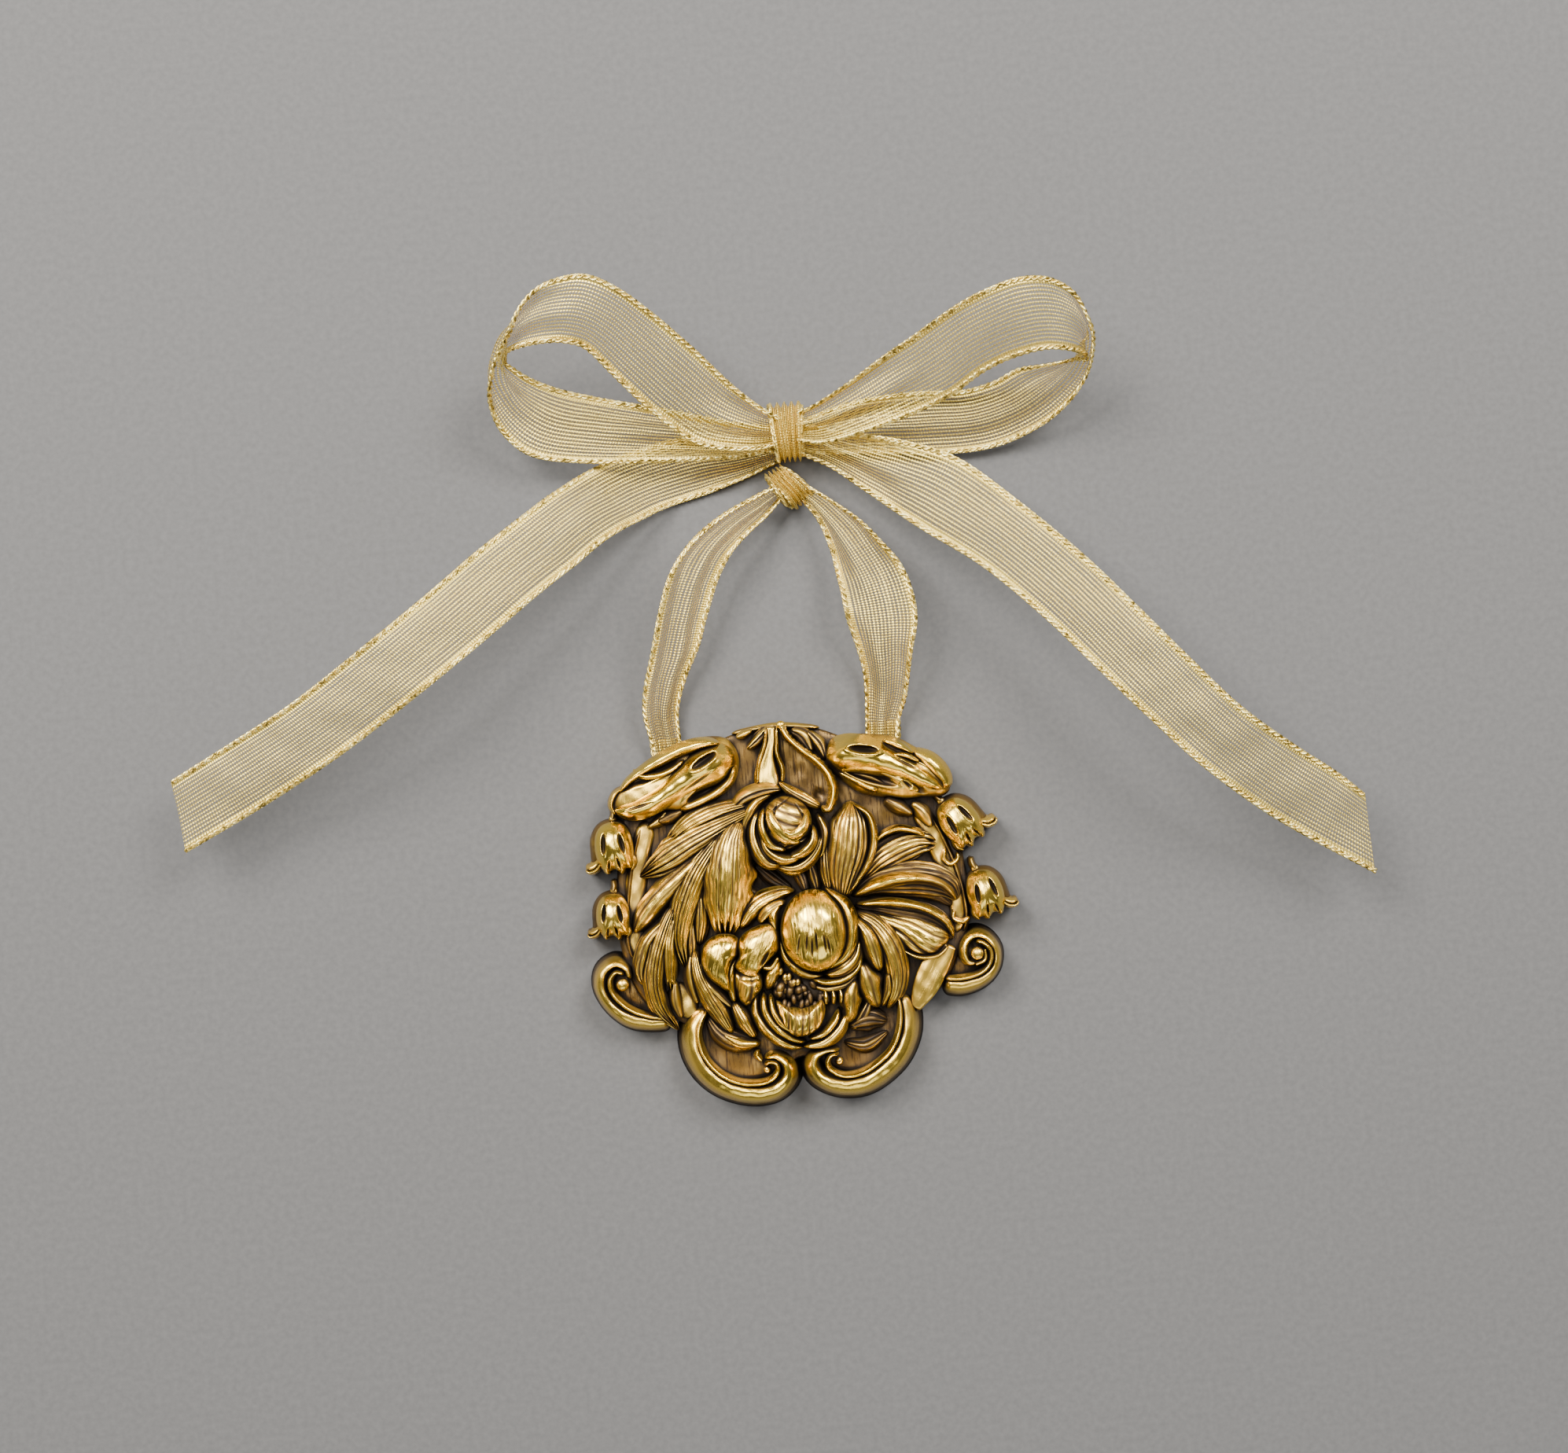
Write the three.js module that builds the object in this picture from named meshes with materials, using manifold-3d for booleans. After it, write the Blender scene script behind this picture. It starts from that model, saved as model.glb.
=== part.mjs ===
// Brass relief plaque hung on a bow of sheer ribbon.
// Frame, in millimetres: the origin lies on the flat back of the plaque, +X to the right of the
// plaque, +Y from the plaque toward the bow, +Z out of the back toward the relief.
import * as THREE from "three";
import { mergeVertices } from "three/addons/utils/BufferGeometryUtils.js";
import Module from "manifold-3d";

const wasm = await Module();
wasm.setup();

// ---------------------------------------------------------------- driving dimensions
const GAP = 0.35;             // clearance left round every applied piece
const PLATE_TOP = 3.6;        // front face of the plate
const SEAT = 3.9;             // underside of everything applied to the plate
const REBATE_TOP = 2.4;       // ceiling of the step behind the top edge
const REBATE_Y = 15;          // the step runs from here to the top edge
const CUT_TOP = 40;           // cutters reach well above the relief
const CUT_BOTTOM = -5;

const RIBBON_THICK = 0.6;     // body given to the ribbon
const RIBBON_BACK_Z = 1.5;    // level of the ribbon behind the plaque
const SWING_Y = 35;           // the strands bend about this line, just outside the top edge
const SWING_GAP = 0.45;       // half the clearance at that bend

const BAIL_WIRE = 0.4;        // radius of the wire staples on the back
const BAIL_LOW_Z = 0.55;
const BAIL_TOP_Z = 2.1;

const brass = { color: 0xb08a3c, metalness: 0.9, roughness: 0.35 };
const gauze = { color: 0xd8c88e, metalness: 0.4, roughness: 0.6 };

const plaque = new THREE.Group();
plaque.name = "souvenir_christmas_ornament";

// ---------------------------------------------------------------- geometry helpers
function alongCurve(points, count) {
  const corners = points.map((p) => new THREE.Vector3(p[0], p[1], p[2] ?? 0));
  return new THREE.CatmullRomCurve3(corners, false, "centripetal").getSpacedPoints(count);
}

// smooth value of a short list at a fraction of its length
function valueAt(list, fraction) {
  const place = fraction * (list.length - 1);
  const low = Math.min(Math.floor(place), list.length - 2);
  const t = place - low;
  const eased = t * t * (3 - 2 * t);
  return list[low] * (1 - eased) + list[low + 1] * eased;
}

// closed body through a row of closed rings, capped at both ends
function throughRings(rings) {
  const size = rings[0].length;
  const corners = rings.flat().flatMap((p) => [p.x, p.y, p.z]);
  const faces = [];
  for (let r = 0; r + 1 < rings.length; r += 1) {
    for (let k = 0; k < size; k += 1) {
      const a = r * size + k;
      const b = r * size + (k + 1) % size;
      faces.push(a, b, b + size, a, b + size, a + size);
    }
  }
  for (const [first, reversed] of [[0, true], [(rings.length - 1) * size, false]]) {
    for (let k = 1; k + 1 < size; k += 1) {
      const fan = [first, first + k, first + k + 1];
      faces.push(...(reversed ? fan.reverse() : fan));
    }
  }
  return solidFrom(corners, faces);
}

function solidFrom(corners, faces) {
  let volume = 0;
  for (let f = 0; f < faces.length; f += 3) {
    const [a, b, c] = [0, 1, 2].map((k) => new THREE.Vector3().fromArray(corners, faces[f + k] * 3));
    volume += a.dot(b.cross(c));
  }
  const outward = volume < 0 ? faces.slice().reverse() : faces;
  return new wasm.Manifold(new wasm.Mesh({
    numProp: 3,
    vertProperties: Float32Array.from(corners),
    triVerts: Uint32Array.from(outward),
  }));
}

function fromGeometry(geometry) {
  geometry.deleteAttribute("normal");
  geometry.deleteAttribute("uv");
  const merged = mergeVertices(geometry, 1e-4);
  return solidFrom(Array.from(merged.attributes.position.array), Array.from(merged.index.array));
}

function block(x0, x1, y0, y1, z0, z1) {
  const box = new THREE.BoxGeometry(x1 - x0, y1 - y0, z1 - z0);
  box.translate((x0 + x1) / 2, (y0 + y1) / 2, (z0 + z1) / 2);
  return fromGeometry(box);
}

// ---------------------------------------------------------------- relief pieces
const DOME = [1, 0.62, 0, -0.62, -1];

// a long leaf or moulding: a domed section carried along a line in the plaque's plane
function bladeBody(shape, spread, flat) {
  const line = alongCurve(shape.spine, shape.steps);
  const rings = [];
  line.forEach((point, index) => {
    const t = index / shape.steps;
    const before = line[Math.max(index - 1, 0)];
    const after = line[Math.min(index + 1, shape.steps)];
    const run = after.clone().sub(before).normalize();
    const side = new THREE.Vector3(-run.y, run.x, 0);
    const reach = (index === 0 ? -spread : 0) + (index === shape.steps ? spread : 0);
    const centre = point.clone().addScaledVector(run, reach);
    const half = valueAt(shape.half, t) + spread;
    const foot = half + shape.foot;
    const at = (across, z) => centre.clone().addScaledVector(side, across).setZ(z);
    if (flat) {
      rings.push([at(foot, CUT_BOTTOM), at(foot, CUT_TOP), at(-foot, CUT_TOP), at(-foot, CUT_BOTTOM)]);
      return;
    }
    const edge = valueAt(shape.edge, t);
    const rise = valueAt(shape.crest, t) - edge;
    const ring = DOME.map((s) => at(s * half, edge + rise * Math.sqrt(1 - 0.98 * s * s)));
    rings.push([at(foot, shape.base), ...ring, at(-foot, shape.base)]);
  });
  return throughRings(rings);
}

// a rounded piece: rings shrinking from a closed outline to its crown
function moundBody(shape, spread, flat) {
  const [cx, cy] = shape.crown;
  const loop = shape.outline.map((p) => new THREE.Vector3(p[0], p[1], 0));
  const curve = new THREE.CatmullRomCurve3(loop, true, "centripetal");
  const rim = curve.getSpacedPoints(shape.steps).slice(0, -1);
  const ringAt = (scale, z) => rim.map((p) => {
    const reach = Math.hypot(p.x - cx, p.y - cy);
    const grown = scale * (reach + spread) / reach;
    return new THREE.Vector3(cx + (p.x - cx) * grown, cy + (p.y - cy) * grown, z);
  });
  if (flat) {
    return throughRings([ringAt(1, CUT_BOTTOM), ringAt(1, CUT_TOP)]);
  }
  const rise = shape.crest - shape.edge;
  const scales = [0.98, 0.74, 0.4, 0.08];
  const domes = scales.map((s) => ringAt(s, shape.edge + rise * Math.sqrt(1 - s * s)));
  return throughRings([ringAt(1, shape.base), ringAt(1, shape.edge), ...domes]);
}

function circle(cx, cy, rx, ry) {
  const points = [];
  for (let k = 0; k < 12; k += 1) {
    const a = (k / 12) * Math.PI * 2;
    points.push([cx + rx * Math.cos(a), cy + ry * Math.sin(a)]);
  }
  return points;
}

const relief = [];

// rank sets which piece lies over which: the higher one keeps its outline and the lower is cut
function blade(name, rank, spine, half, edge, crest, extra = {}) {
  const shape = { spine, half, edge, crest, base: SEAT, foot: 0, steps: 8, ...extra };
  relief.push({ name, rank, body: bladeBody(shape, 0, false), cutter: bladeBody(shape, GAP, true) });
}

function mound(name, rank, crown, outline, edge, crest, extra = {}) {
  const shape = { crown, outline, edge, crest, base: SEAT, steps: 16, ...extra };
  relief.push({ name, rank, body: moundBody(shape, 0, false), cutter: moundBody(shape, GAP, true) });
}

function largestPiece(body) {
  const pieces = body.decompose();
  return pieces.reduce((best, next) => (next.volume() > best.volume() ? next : best));
}

function addBody(name, body, finish) {
  const mesh = body.getMesh();
  const geometry = new THREE.BufferGeometry();
  geometry.setAttribute("position", new THREE.BufferAttribute(mesh.vertProperties, 3));
  geometry.setIndex(new THREE.BufferAttribute(mesh.triVerts, 1));
  geometry.computeVertexNormals();
  const node = new THREE.Mesh(geometry, new THREE.MeshStandardMaterial(finish));
  node.name = name;
  plaque.add(node);
}

// ---------------------------------------------------------------- cartouche frame
blade("top_curl_left", 13, [[-29.2, 22], [-24, 24.8], [-17.5, 28.2], [-12, 30.2], [-9.6, 29.8]],
  [1.6, 4.2, 5, 4.6, 2.4], [5, 6, 6.5, 6.5, 6], [7, 8.8, 10, 10.4, 8.6]);
blade("top_curl_right", 13, [[11.3, 29.4], [14, 28.6], [19.5, 25.8], [25, 22.9], [29, 21.3]],
  [2.2, 4.1, 4.9, 4.1, 1.8], [6, 6.5, 6.5, 6, 5], [8.6, 10.4, 10, 8.8, 7]);
blade("side_rail_left", 9, [[-26.2, 18.5], [-27.4, 10], [-28.1, 1], [-27.6, -5]],
  [1.3, 1.3, 1.3, 1.1], [4.8, 4.8, 4.8, 4.6], [5.8, 5.8, 5.8, 5.4]);
blade("side_rail_right", 9, [[25.2, 17.2], [28, 11], [30, 3], [30.2, -3.5]],
  [1.3, 1.3, 1.3, 1.1], [4.8, 4.8, 4.8, 4.6], [5.8, 5.8, 5.8, 5.4]);

mound("bellflower_left_upper", 14, [-31.6, 14.6],
  [[-34.2, 18.9], [-31.6, 20.2], [-28.9, 19], [-28, 16], [-28.4, 12.8], [-29.9, 10.2], [-32.2, 10],
    [-34.6, 11.2], [-37.8, 11], [-38.3, 13], [-36, 14.2], [-35.2, 16.4]],
  3, 8.4, { base: 0 });
mound("bellflower_left_lower", 14, [-33.2, 2.6],
  [[-36, 6.4], [-33.4, 7.7], [-30.8, 6.3], [-29.9, 3.3], [-30.7, 0.2], [-32.2, -2.2], [-34.4, -1.7],
    [-36.6, -0.9], [-39, -1], [-39.2, 1.1], [-37.2, 2], [-36.6, 4]],
  3, 8, { base: 0 });
mound("bellflower_right_upper", 14, [32.2, 13.4],
  [[28.2, 16.6], [30, 19], [32.8, 18.2], [35.1, 15.9], [37, 14.6], [39.3, 13.9], [39.1, 11.9],
    [36.4, 11.2], [34, 10.2], [31.4, 9.2], [29.9, 7], [28.5, 7.6], [28.7, 10], [27.8, 13.6]],
  3, 8.4, { base: 0 });
mound("bellflower_right_lower", 14, [35.6, 0.8],
  [[32.8, 4.7], [35, 6.3], [37.4, 5], [38.6, 2.4], [40, 0.2], [41.6, -1.6], [41, -3.8], [38.6, -4],
    [36.6, -4.7], [34.6, -4.2], [33.2, -2], [32.4, 1.3]],
  3, 8, { base: 0 });

const sideScroll = { base: 0, foot: 0.9, steps: 18 };
blade("side_scroll_left", 12,
  [[-24.2, -17], [-28.6, -16.6], [-33, -14.6], [-35.2, -11.2], [-35, -7.4], [-32.6, -5.8], [-30.6, -7.4],
    [-30.9, -9.6]],
  [1.2, 1.5, 1.6, 1.5, 1.3, 1, 0.8, 0.8], [4, 4.6, 4.6, 4.6, 4.6], [5.4, 6, 6.2, 6.4, 6.8], sideScroll);
blade("side_scroll_right", 12,
  [[24.6, -15.8], [29.2, -15.8], [33.4, -14.6], [36, -11.6], [36, -7.8], [33.8, -5.8], [31.8, -7.2],
    [32.2, -9.4]],
  [1.2, 1.5, 1.6, 1.5, 1.3, 1, 0.8, 0.8], [4, 4.6, 4.6, 4.6, 4.6], [5.4, 6, 6.2, 6.4, 6.8], sideScroll);

const bottomScroll = { base: 0, foot: 1.1, steps: 20 };
blade("bottom_scroll_left", 15,
  [[-18.4, -15.6], [-20.1, -19.6], [-19.9, -24], [-17.4, -28.4], [-13.2, -30.8], [-8.2, -31], [-4.2, -29],
    [-3.2, -26], [-5.4, -24.6], [-7, -26]],
  [1, 1.5, 1.6, 1.7, 1.8, 1.7, 1.4, 1.1, 0.7], [4.4, 5, 5.4, 5.4, 5], [5.8, 7, 7.4, 7.2, 6.2], bottomScroll);
blade("bottom_scroll_right", 15,
  [[19, -15.6], [20.6, -20], [20, -24.6], [17.2, -29], [12.6, -31.4], [7.8, -31.4], [3.6, -29.4],
    [2.6, -26.4], [4.8, -24.9], [6.6, -26.2]],
  [1, 1.5, 1.6, 1.7, 1.8, 1.7, 1.4, 1.1, 0.7], [4.4, 5, 5.4, 5.4, 5], [5.8, 7, 7.4, 7.2, 6.2], bottomScroll);
blade("strap_right", 10, [[27.2, -8.6], [25, -13], [21.9, -17.6]],
  [1.9, 2, 1.3], [5, 5.2, 5], [5.4, 5.8, 5.4], { steps: 6 });

// ---------------------------------------------------------------- bud and stems
mound("bud_globe", 30, [0.8, 17.4], circle(0.8, 17.5, 4.8, 4.9), 7.5, 12.5);
blade("bud_collar_petals", 27, [[-5.2, 17.8], [-4.8, 12.4], [-1, 9.9], [4, 11.2], [6.2, 15.2]],
  [1, 1.9, 2.2, 1.9, 0.9], [7, 8, 8, 8, 7], [8.5, 10.2, 10.4, 10, 8.6], { steps: 12 });
blade("bud_sepal_left", 28, [[-0.8, 23.4], [-4.4, 22.4], [-7.4, 20.2], [-8.7, 17]],
  [0.5, 0.9, 0.9, 0.4], [7, 7.4, 7.4, 6.6], [8.4, 9.2, 9, 7.4]);
blade("bud_sepal_right", 28, [[0.6, 23.8], [3.2, 22.6], [5.8, 20.3]],
  [0.5, 0.8, 0.4], [7, 7.6, 7], [8.6, 9.4, 8.2], { steps: 6 });
blade("stem_vine", 29, [[0.9, 35.2], [1.4, 32], [3.6, 29.3], [6.9, 26.5], [9.3, 23.2], [9.1, 20.2], [7.6, 19.5]],
  [0.7, 0.7, 0.7, 0.75, 0.8, 0.8, 0.6], [6, 6.4, 6.8, 7.2, 7.4], [7.6, 8, 8.4, 8.8, 8.8], { steps: 12 });
blade("stem_flat", 16, [[-0.7, 35.2], [-1.9, 31], [-2.6, 27.4], [-3.4, 24.6]],
  [0.9, 1, 1.7, 2.1], [5.2, 5.4, 5.6, 5.8], [6.8, 6.6, 6.4, 6.4]);

// ---------------------------------------------------------------- leaf spray
blade("leaf_upper", 17, [[-8, 20.2], [-13.1, 18.2], [-17.6, 15.8], [-22.2, 12.8], [-26.2, 10.3]],
  [1, 2.7, 3.3, 2.7, 0.7], [5.4, 5.8, 6, 5.4, 4.6], [7.6, 9, 8.6, 7.2, 5.2]);
blade("leaf_narrow", 16, [[-15.2, 11.6], [-20.1, 7.9], [-24.4, 4.2], [-27.5, 1.2], [-29.7, -1]],
  [1.3, 1.8, 1.8, 1.5, 0.6], [5.4, 5.4, 5.4, 5, 4.6], [7.4, 7.4, 7, 6.4, 5.2]);
blade("leaf_oval", 19, [[-7.8, 16], [-9.2, 11.6], [-10.9, 7.4], [-11.9, 3], [-12.9, -1.4]],
  [1.4, 3, 3.8, 3.2, 0.7], [7, 7.4, 7.4, 6.6, 5.6], [9.4, 11, 11.2, 9.6, 6.4]);
blade("leaf_striped", 18, [[-13.6, 12.4], [-16.8, 7.4], [-19, 2.3], [-20.2, -2.7], [-20.7, -7]],
  [1.6, 2.6, 2.9, 2.2, 0.6], [6, 6.4, 6.2, 5.6, 4.8], [8.6, 9.2, 8.8, 7.6, 5.6]);
blade("leaf_lower", 17, [[-21.2, 0.6], [-23.6, -5.4], [-24.6, -11], [-24.2, -15.4], [-23.1, -19]],
  [1, 2.1, 2.4, 1.8, 0.6], [5, 5.4, 5.4, 5, 4.6], [6.8, 7.6, 7.4, 6.6, 5.2]);
blade("leaf_lobe", 16, [[-23, 1.4], [-25.6, -2.4], [-27.6, -6.4], [-28.4, -10.2]],
  [0.9, 1.5, 1.5, 0.5], [4.8, 5, 5, 4.6], [6, 6.6, 6.2, 5.2]);

// ---------------------------------------------------------------- peony
mound("petal_upper", 20, [11.2, 12.2],
  [[8.6, 19.2], [11.7, 19.8], [14.2, 18.2], [15.7, 15.4], [15.8, 12.4], [14.6, 9.6], [13, 6.9],
    [11.2, 5], [9.2, 4.4], [7.5, 5.8], [6.5, 8.7], [6.9, 12.2], [7.4, 15.8]],
  6.8, 10.2);
mound("petal_right_1", 16, [19.6, 10.4],
  [[16.8, 13.2], [18.3, 14.7], [20.9, 14.6], [23.6, 13.4], [26.6, 11.4], [26, 8.9], [23.6, 7.6], [19.6, 7.6],
    [16.6, 7.8], [15.6, 9.8]],
  5, 7.2);
blade("petal_right_2", 19, [[12.2, 3.6], [17.4, 4.9], [23.4, 4.7], [29.4, 1.8]],
  [0.9, 2.5, 2.7, 0.9], [6, 6.4, 6, 5.2], [8.2, 9.6, 9, 6.8]);
blade("petal_right_3", 18, [[12.4, 1], [18, 0.1], [23.6, -1], [28.8, -6.2]],
  [0.7, 1.6, 2.2, 0.9], [5.4, 5.8, 5.6, 5], [7.6, 8.4, 8, 6.2]);
blade("petal_right_fan", 15, [[16.4, -2.4], [21.4, -5], [25, -6.9], [28.2, -7.6]],
  [0.8, 2.4, 2.5, 1.2], [4.6, 5, 5, 4.6], [6, 6.8, 6.6, 5.4]);
blade("petal_right_outer", 21, [[12.2, 0.2], [15, -4.2], [16.9, -9.4], [16.6, -14.4], [14.9, -17.4]],
  [0.9, 2.4, 2.6, 2.2, 0.7], [6.6, 7, 7, 6, 5], [9.4, 10.2, 9.8, 8.2, 6]);
blade("petal_wavy", 22, [[13, -9.4], [13.8, -12.8], [12.8, -16.2], [13.2, -19]],
  [1, 1.6, 1.5, 0.6], [6.4, 6.6, 6, 5], [8.6, 9, 8, 6]);
mound("petal_globe", 31, [4.2, -1.6], circle(4.3, -2, 6.3, 7), 8.5, 14.2);
blade("petal_crescent", 28, [[11.6, -3.2], [10.6, -7.4], [7, -11], [3, -12.2]],
  [0.7, 1.7, 1.8, 0.6], [7.4, 8, 8, 7], [10, 11, 10.6, 8.4]);
blade("petal_cup_rim_left", 25, [[-7.4, -13.3], [-7, -17.4], [-4.8, -21], [-0.6, -23.6]],
  [0.6, 1.5, 1.7, 0.6], [6, 6.6, 6.4, 5.6], [7.6, 8.8, 8.4, 6.6]);
blade("petal_cup_rim_right", 25, [[0.6, -23.2], [3.8, -22.4], [6.6, -20.6], [8.8, -17.8]],
  [0.6, 1.5, 1.6, 0.6], [5.6, 6.2, 6.4, 6], [6.6, 8, 8.2, 7.2]);
mound("petal_cup", 26, [-0.4, -18.6],
  [[-5.2, -15], [-2.6, -16], [0, -16.4], [3, -15.8], [5, -15.4], [5, -18], [3.4, -20.6], [0.4, -22],
    [-2.8, -21], [-4.8, -18.4]],
  7, 9.8);
mound("petal_left_upper", 23, [-5.6, 2],
  [[-10.3, -1.4], [-9.2, 1.6], [-6.4, 3.9], [-3, 5], [-1, 4.3], [-1.6, 2.4], [-4.4, 1], [-8.2, -1]],
  6.2, 8.6);
mound("petal_folded_1", 26, [-6.4, -4.6],
  [[-10.2, -6.3], [-9.3, -2.9], [-6.5, -0.9], [-3.4, -1], [-2.6, -4.1], [-3.7, -7], [-6.1, -9.1],
    [-8.7, -9.2]],
  7.4, 10.6);
mound("petal_folded_2", 25, [-12.8, -7],
  [[-16.3, -4.6], [-14.8, -2.3], [-11.2, -2], [-9.9, -4.3], [-10.5, -8.4], [-11.7, -12.4], [-13, -14.4],
    [-14.9, -10.4]],
  6.6, 9.4);
mound("petal_folded_3", 24, [-8.4, -11.6],
  [[-10, -8.6], [-7.6, -9.2], [-5.6, -10.2], [-6.2, -12.4], [-7.9, -14.2], [-9.8, -15], [-10.7, -12.2]],
  6.2, 8.6);
blade("petal_left_outer", 22, [[-17.8, -4.7], [-17.8, -9.5], [-16, -14.7], [-12.8, -19.9]],
  [0.6, 1.7, 1.9, 0.6], [5.2, 5.8, 5.6, 5], [6.8, 8.4, 8, 6]);
blade("petal_lower_left", 21, [[-11.5, -14.9], [-9.8, -18.2], [-7.6, -21.9]],
  [1.2, 1.6, 0.6], [5.4, 5.6, 5], [7, 7.4, 6], { steps: 6 });

// ---------------------------------------------------------------- stamens
// a low pad with two rows of beads standing on it, joined into one body
const BEAD_RADIUS = 0.95;
const stamenPad = {
  crown: [1.2, -12.8],
  outline: [[-4.4, -12.6], [-2.6, -9.4], [1, -10.4], [5, -12], [8.6, -13], [6.4, -15.4], [1.2, -15.2],
    [-3, -14.6]],
  edge: 5.8,
  crest: 7.4,
  base: SEAT,
  steps: 14,
};

function stamenCluster() {
  let cluster = moundBody(stamenPad, 0, false);
  for (let row = 0; row < 2; row += 1) {
    for (let k = 0; k < 5 - row; k += 1) {
      const bead = new THREE.SphereGeometry(BEAD_RADIUS, 7, 5);
      const x = -2.6 + k * 1.95 + row * 0.95;
      const y = -13.6 - Math.abs(k - 2) * 0.12 + row * 1.6;
      bead.translate(x, y, 7.3 + row * 0.5);
      cluster = cluster.add(fromGeometry(bead));
    }
  }
  return cluster;
}
relief.push({
  name: "stamen_cluster",
  rank: 24,
  body: stamenCluster(),
  cutter: moundBody(stamenPad, GAP, true),
});

// ---------------------------------------------------------------- base plate
function basePlate() {
  const shape = {
    crown: [0, 4],
    outline: [[-26, 24.6], [-17, 30.6], [-7.5, 34], [0, 35.1], [7, 33.9], [16, 30], [25, 24.4], [30.6, 16],
      [32.4, 7], [32.6, -2], [30, -9], [26.4, -15], [21, -18], [19, -24], [13, -29], [6, -28.4],
      [0, -25.2], [-6, -28.4], [-13, -29], [-19, -23.6], [-21, -18], [-26.8, -15], [-30.6, -8], [-32, 2],
      [-31, 12], [-29.4, 20]],
    steps: 60,
  };
  const blank = moundBody(shape, 0, true).intersect(block(-60, 60, -60, 60, 0, PLATE_TOP));
  return blank.subtract(block(-60, 60, REBATE_Y, 60, -1, REBATE_TOP));
}

relief.sort((a, b) => b.rank - a.rank);
let taken = null;
for (const piece of relief) {
  const body = taken ? piece.body.subtract(taken) : piece.body;
  addBody(piece.name, largestPiece(body), brass);
  taken = taken ? taken.add(piece.cutter) : piece.cutter;
}

// only the mouldings that stand on the back of the plaque reach down through the plate
let plate = basePlate();
for (const piece of relief) {
  if (piece.body.boundingBox().min[2] < 1) {
    plate = plate.subtract(piece.cutter);
  }
}
addBody("base_plate", largestPiece(plate), brass);

// ---------------------------------------------------------------- wire staples on the back
function staple(name, x, y, turn) {
  const reach = 3.6;
  const along = [Math.cos(turn), Math.sin(turn)];
  const at = (s, z) => new THREE.Vector3(x + along[0] * s, y + along[1] * s, z);
  const path = new THREE.CatmullRomCurve3([
    at(-reach, BAIL_TOP_Z),
    at(-reach, BAIL_LOW_Z + 0.5),
    at(-reach + 0.5, BAIL_LOW_Z),
    at(reach - 0.5, BAIL_LOW_Z),
    at(reach, BAIL_LOW_Z + 0.5),
    at(reach, BAIL_TOP_Z),
  ], false, "centripetal");
  const wire = new THREE.Shape();
  wire.absarc(0, 0, BAIL_WIRE, 0, Math.PI * 2, false);
  const tube = new THREE.ExtrudeGeometry(wire, {
    extrudePath: path, steps: 12, curveSegments: 4, bevelEnabled: false,
  });
  addBody(name, fromGeometry(tube), brass);
}
staple("hanger_bail_left", -18.3, 26.6, Math.PI * 0.25);
staple("hanger_bail_right", 17.2, 26.2, Math.PI * 0.75);

// ---------------------------------------------------------------- ribbon
// a strip carried between two edges; each station is [x, y, z] on one edge and [x, y, z] on the other
function strip(name, stations, steps) {
  const first = alongCurve(stations.map((s) => s.slice(0, 3)), steps);
  const second = alongCurve(stations.map((s) => s.slice(3, 6)), steps);
  const centres = first.map((p, k) => p.clone().add(second[k]).multiplyScalar(0.5));
  const rings = first.map((a, k) => {
    const b = second[k];
    const run = centres[Math.min(k + 1, steps)].clone().sub(centres[Math.max(k - 1, 0)]);
    const lift = run.cross(a.clone().sub(b)).normalize().multiplyScalar(RIBBON_THICK / 2);
    return [a.clone().add(lift), b.clone().add(lift), b.clone().sub(lift), a.clone().sub(lift)];
  });
  addBody(name, throughRings(rings), gauze);
}

function knot(name, centre, radii) {
  const ball = new THREE.SphereGeometry(1, 14, 10);
  ball.rotateX(Math.PI / 2);
  ball.scale(...radii);
  ball.translate(...centre);
  addBody(name, fromGeometry(ball), gauze);
}

const backEnd = SWING_Y - SWING_GAP;
const strandEnd = SWING_Y + SWING_GAP;
const backZ = RIBBON_BACK_Z;
strip("ribbon_behind", [
  [-23.2, backEnd, backZ, -17.9, backEnd, backZ],
  [-22.8, 30, backZ, -17.4, 31, backZ],
  [-20.4, 24.6, backZ, -15.8, 28, backZ],
  [-12, 21.2, backZ, -10.6, 26.4, backZ],
  [0, 20, backZ, 0, 25.6, backZ],
  [11, 21, backZ, 9.6, 26.2, backZ],
  [19.2, 24.4, backZ, 14.4, 27.8, backZ],
  [22.2, 29.6, backZ, 16.2, 30.8, backZ],
  [22.8, backEnd, backZ, 16.6, backEnd, backZ],
], 20);

strip("ribbon_strand_left", [
  [1.9, 78, 4, 2.9, 75.2, 3],
  [-7.4, 73.7, 8, -1, 71.9, 5.5],
  [-13.6, 68.9, 11, -5.6, 68.1, 7],
  [-17.3, 63.3, 11, -8.6, 64.1, 6],
  [-19.7, 56.4, 9, -10.7, 59.9, 5],
  [-21.6, 49.3, 7, -12.9, 53, 4],
  [-23.2, 44, 5, -16, 45.6, 3],
  [-23.8, 39.4, 3, -17.8, 39.6, 2.2],
  [-23.2, strandEnd, backZ, -17.9, strandEnd, backZ],
], 24);
strip("ribbon_strand_right", [
  [10.4, 78.4, 4, 9.5, 74.7, 3],
  [13.1, 75.2, 7, 11.1, 71.8, 4],
  [18.2, 71.5, 9, 12.2, 66.7, 5],
  [21.9, 67.2, 9, 12.9, 63, 6],
  [25.2, 62.5, 8, 13.7, 59.1, 7],
  [26.9, 57.2, 8, 14.1, 55.9, 7],
  [27.2, 52.2, 8, 14.6, 52.7, 6],
  [26.1, 47.2, 7, 15.7, 48.1, 5],
  [25.2, 42.6, 5, 16.6, 43.6, 3.6],
  [24.3, 38.4, 3, 16.8, 39.4, 2.2],
  [22.8, strandEnd, backZ, 16.6, strandEnd, backZ],
], 24);
knot("ribbon_lower_knot", [6.2, 78.5, 3.2], [3.6, 3.6, 3]);
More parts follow.
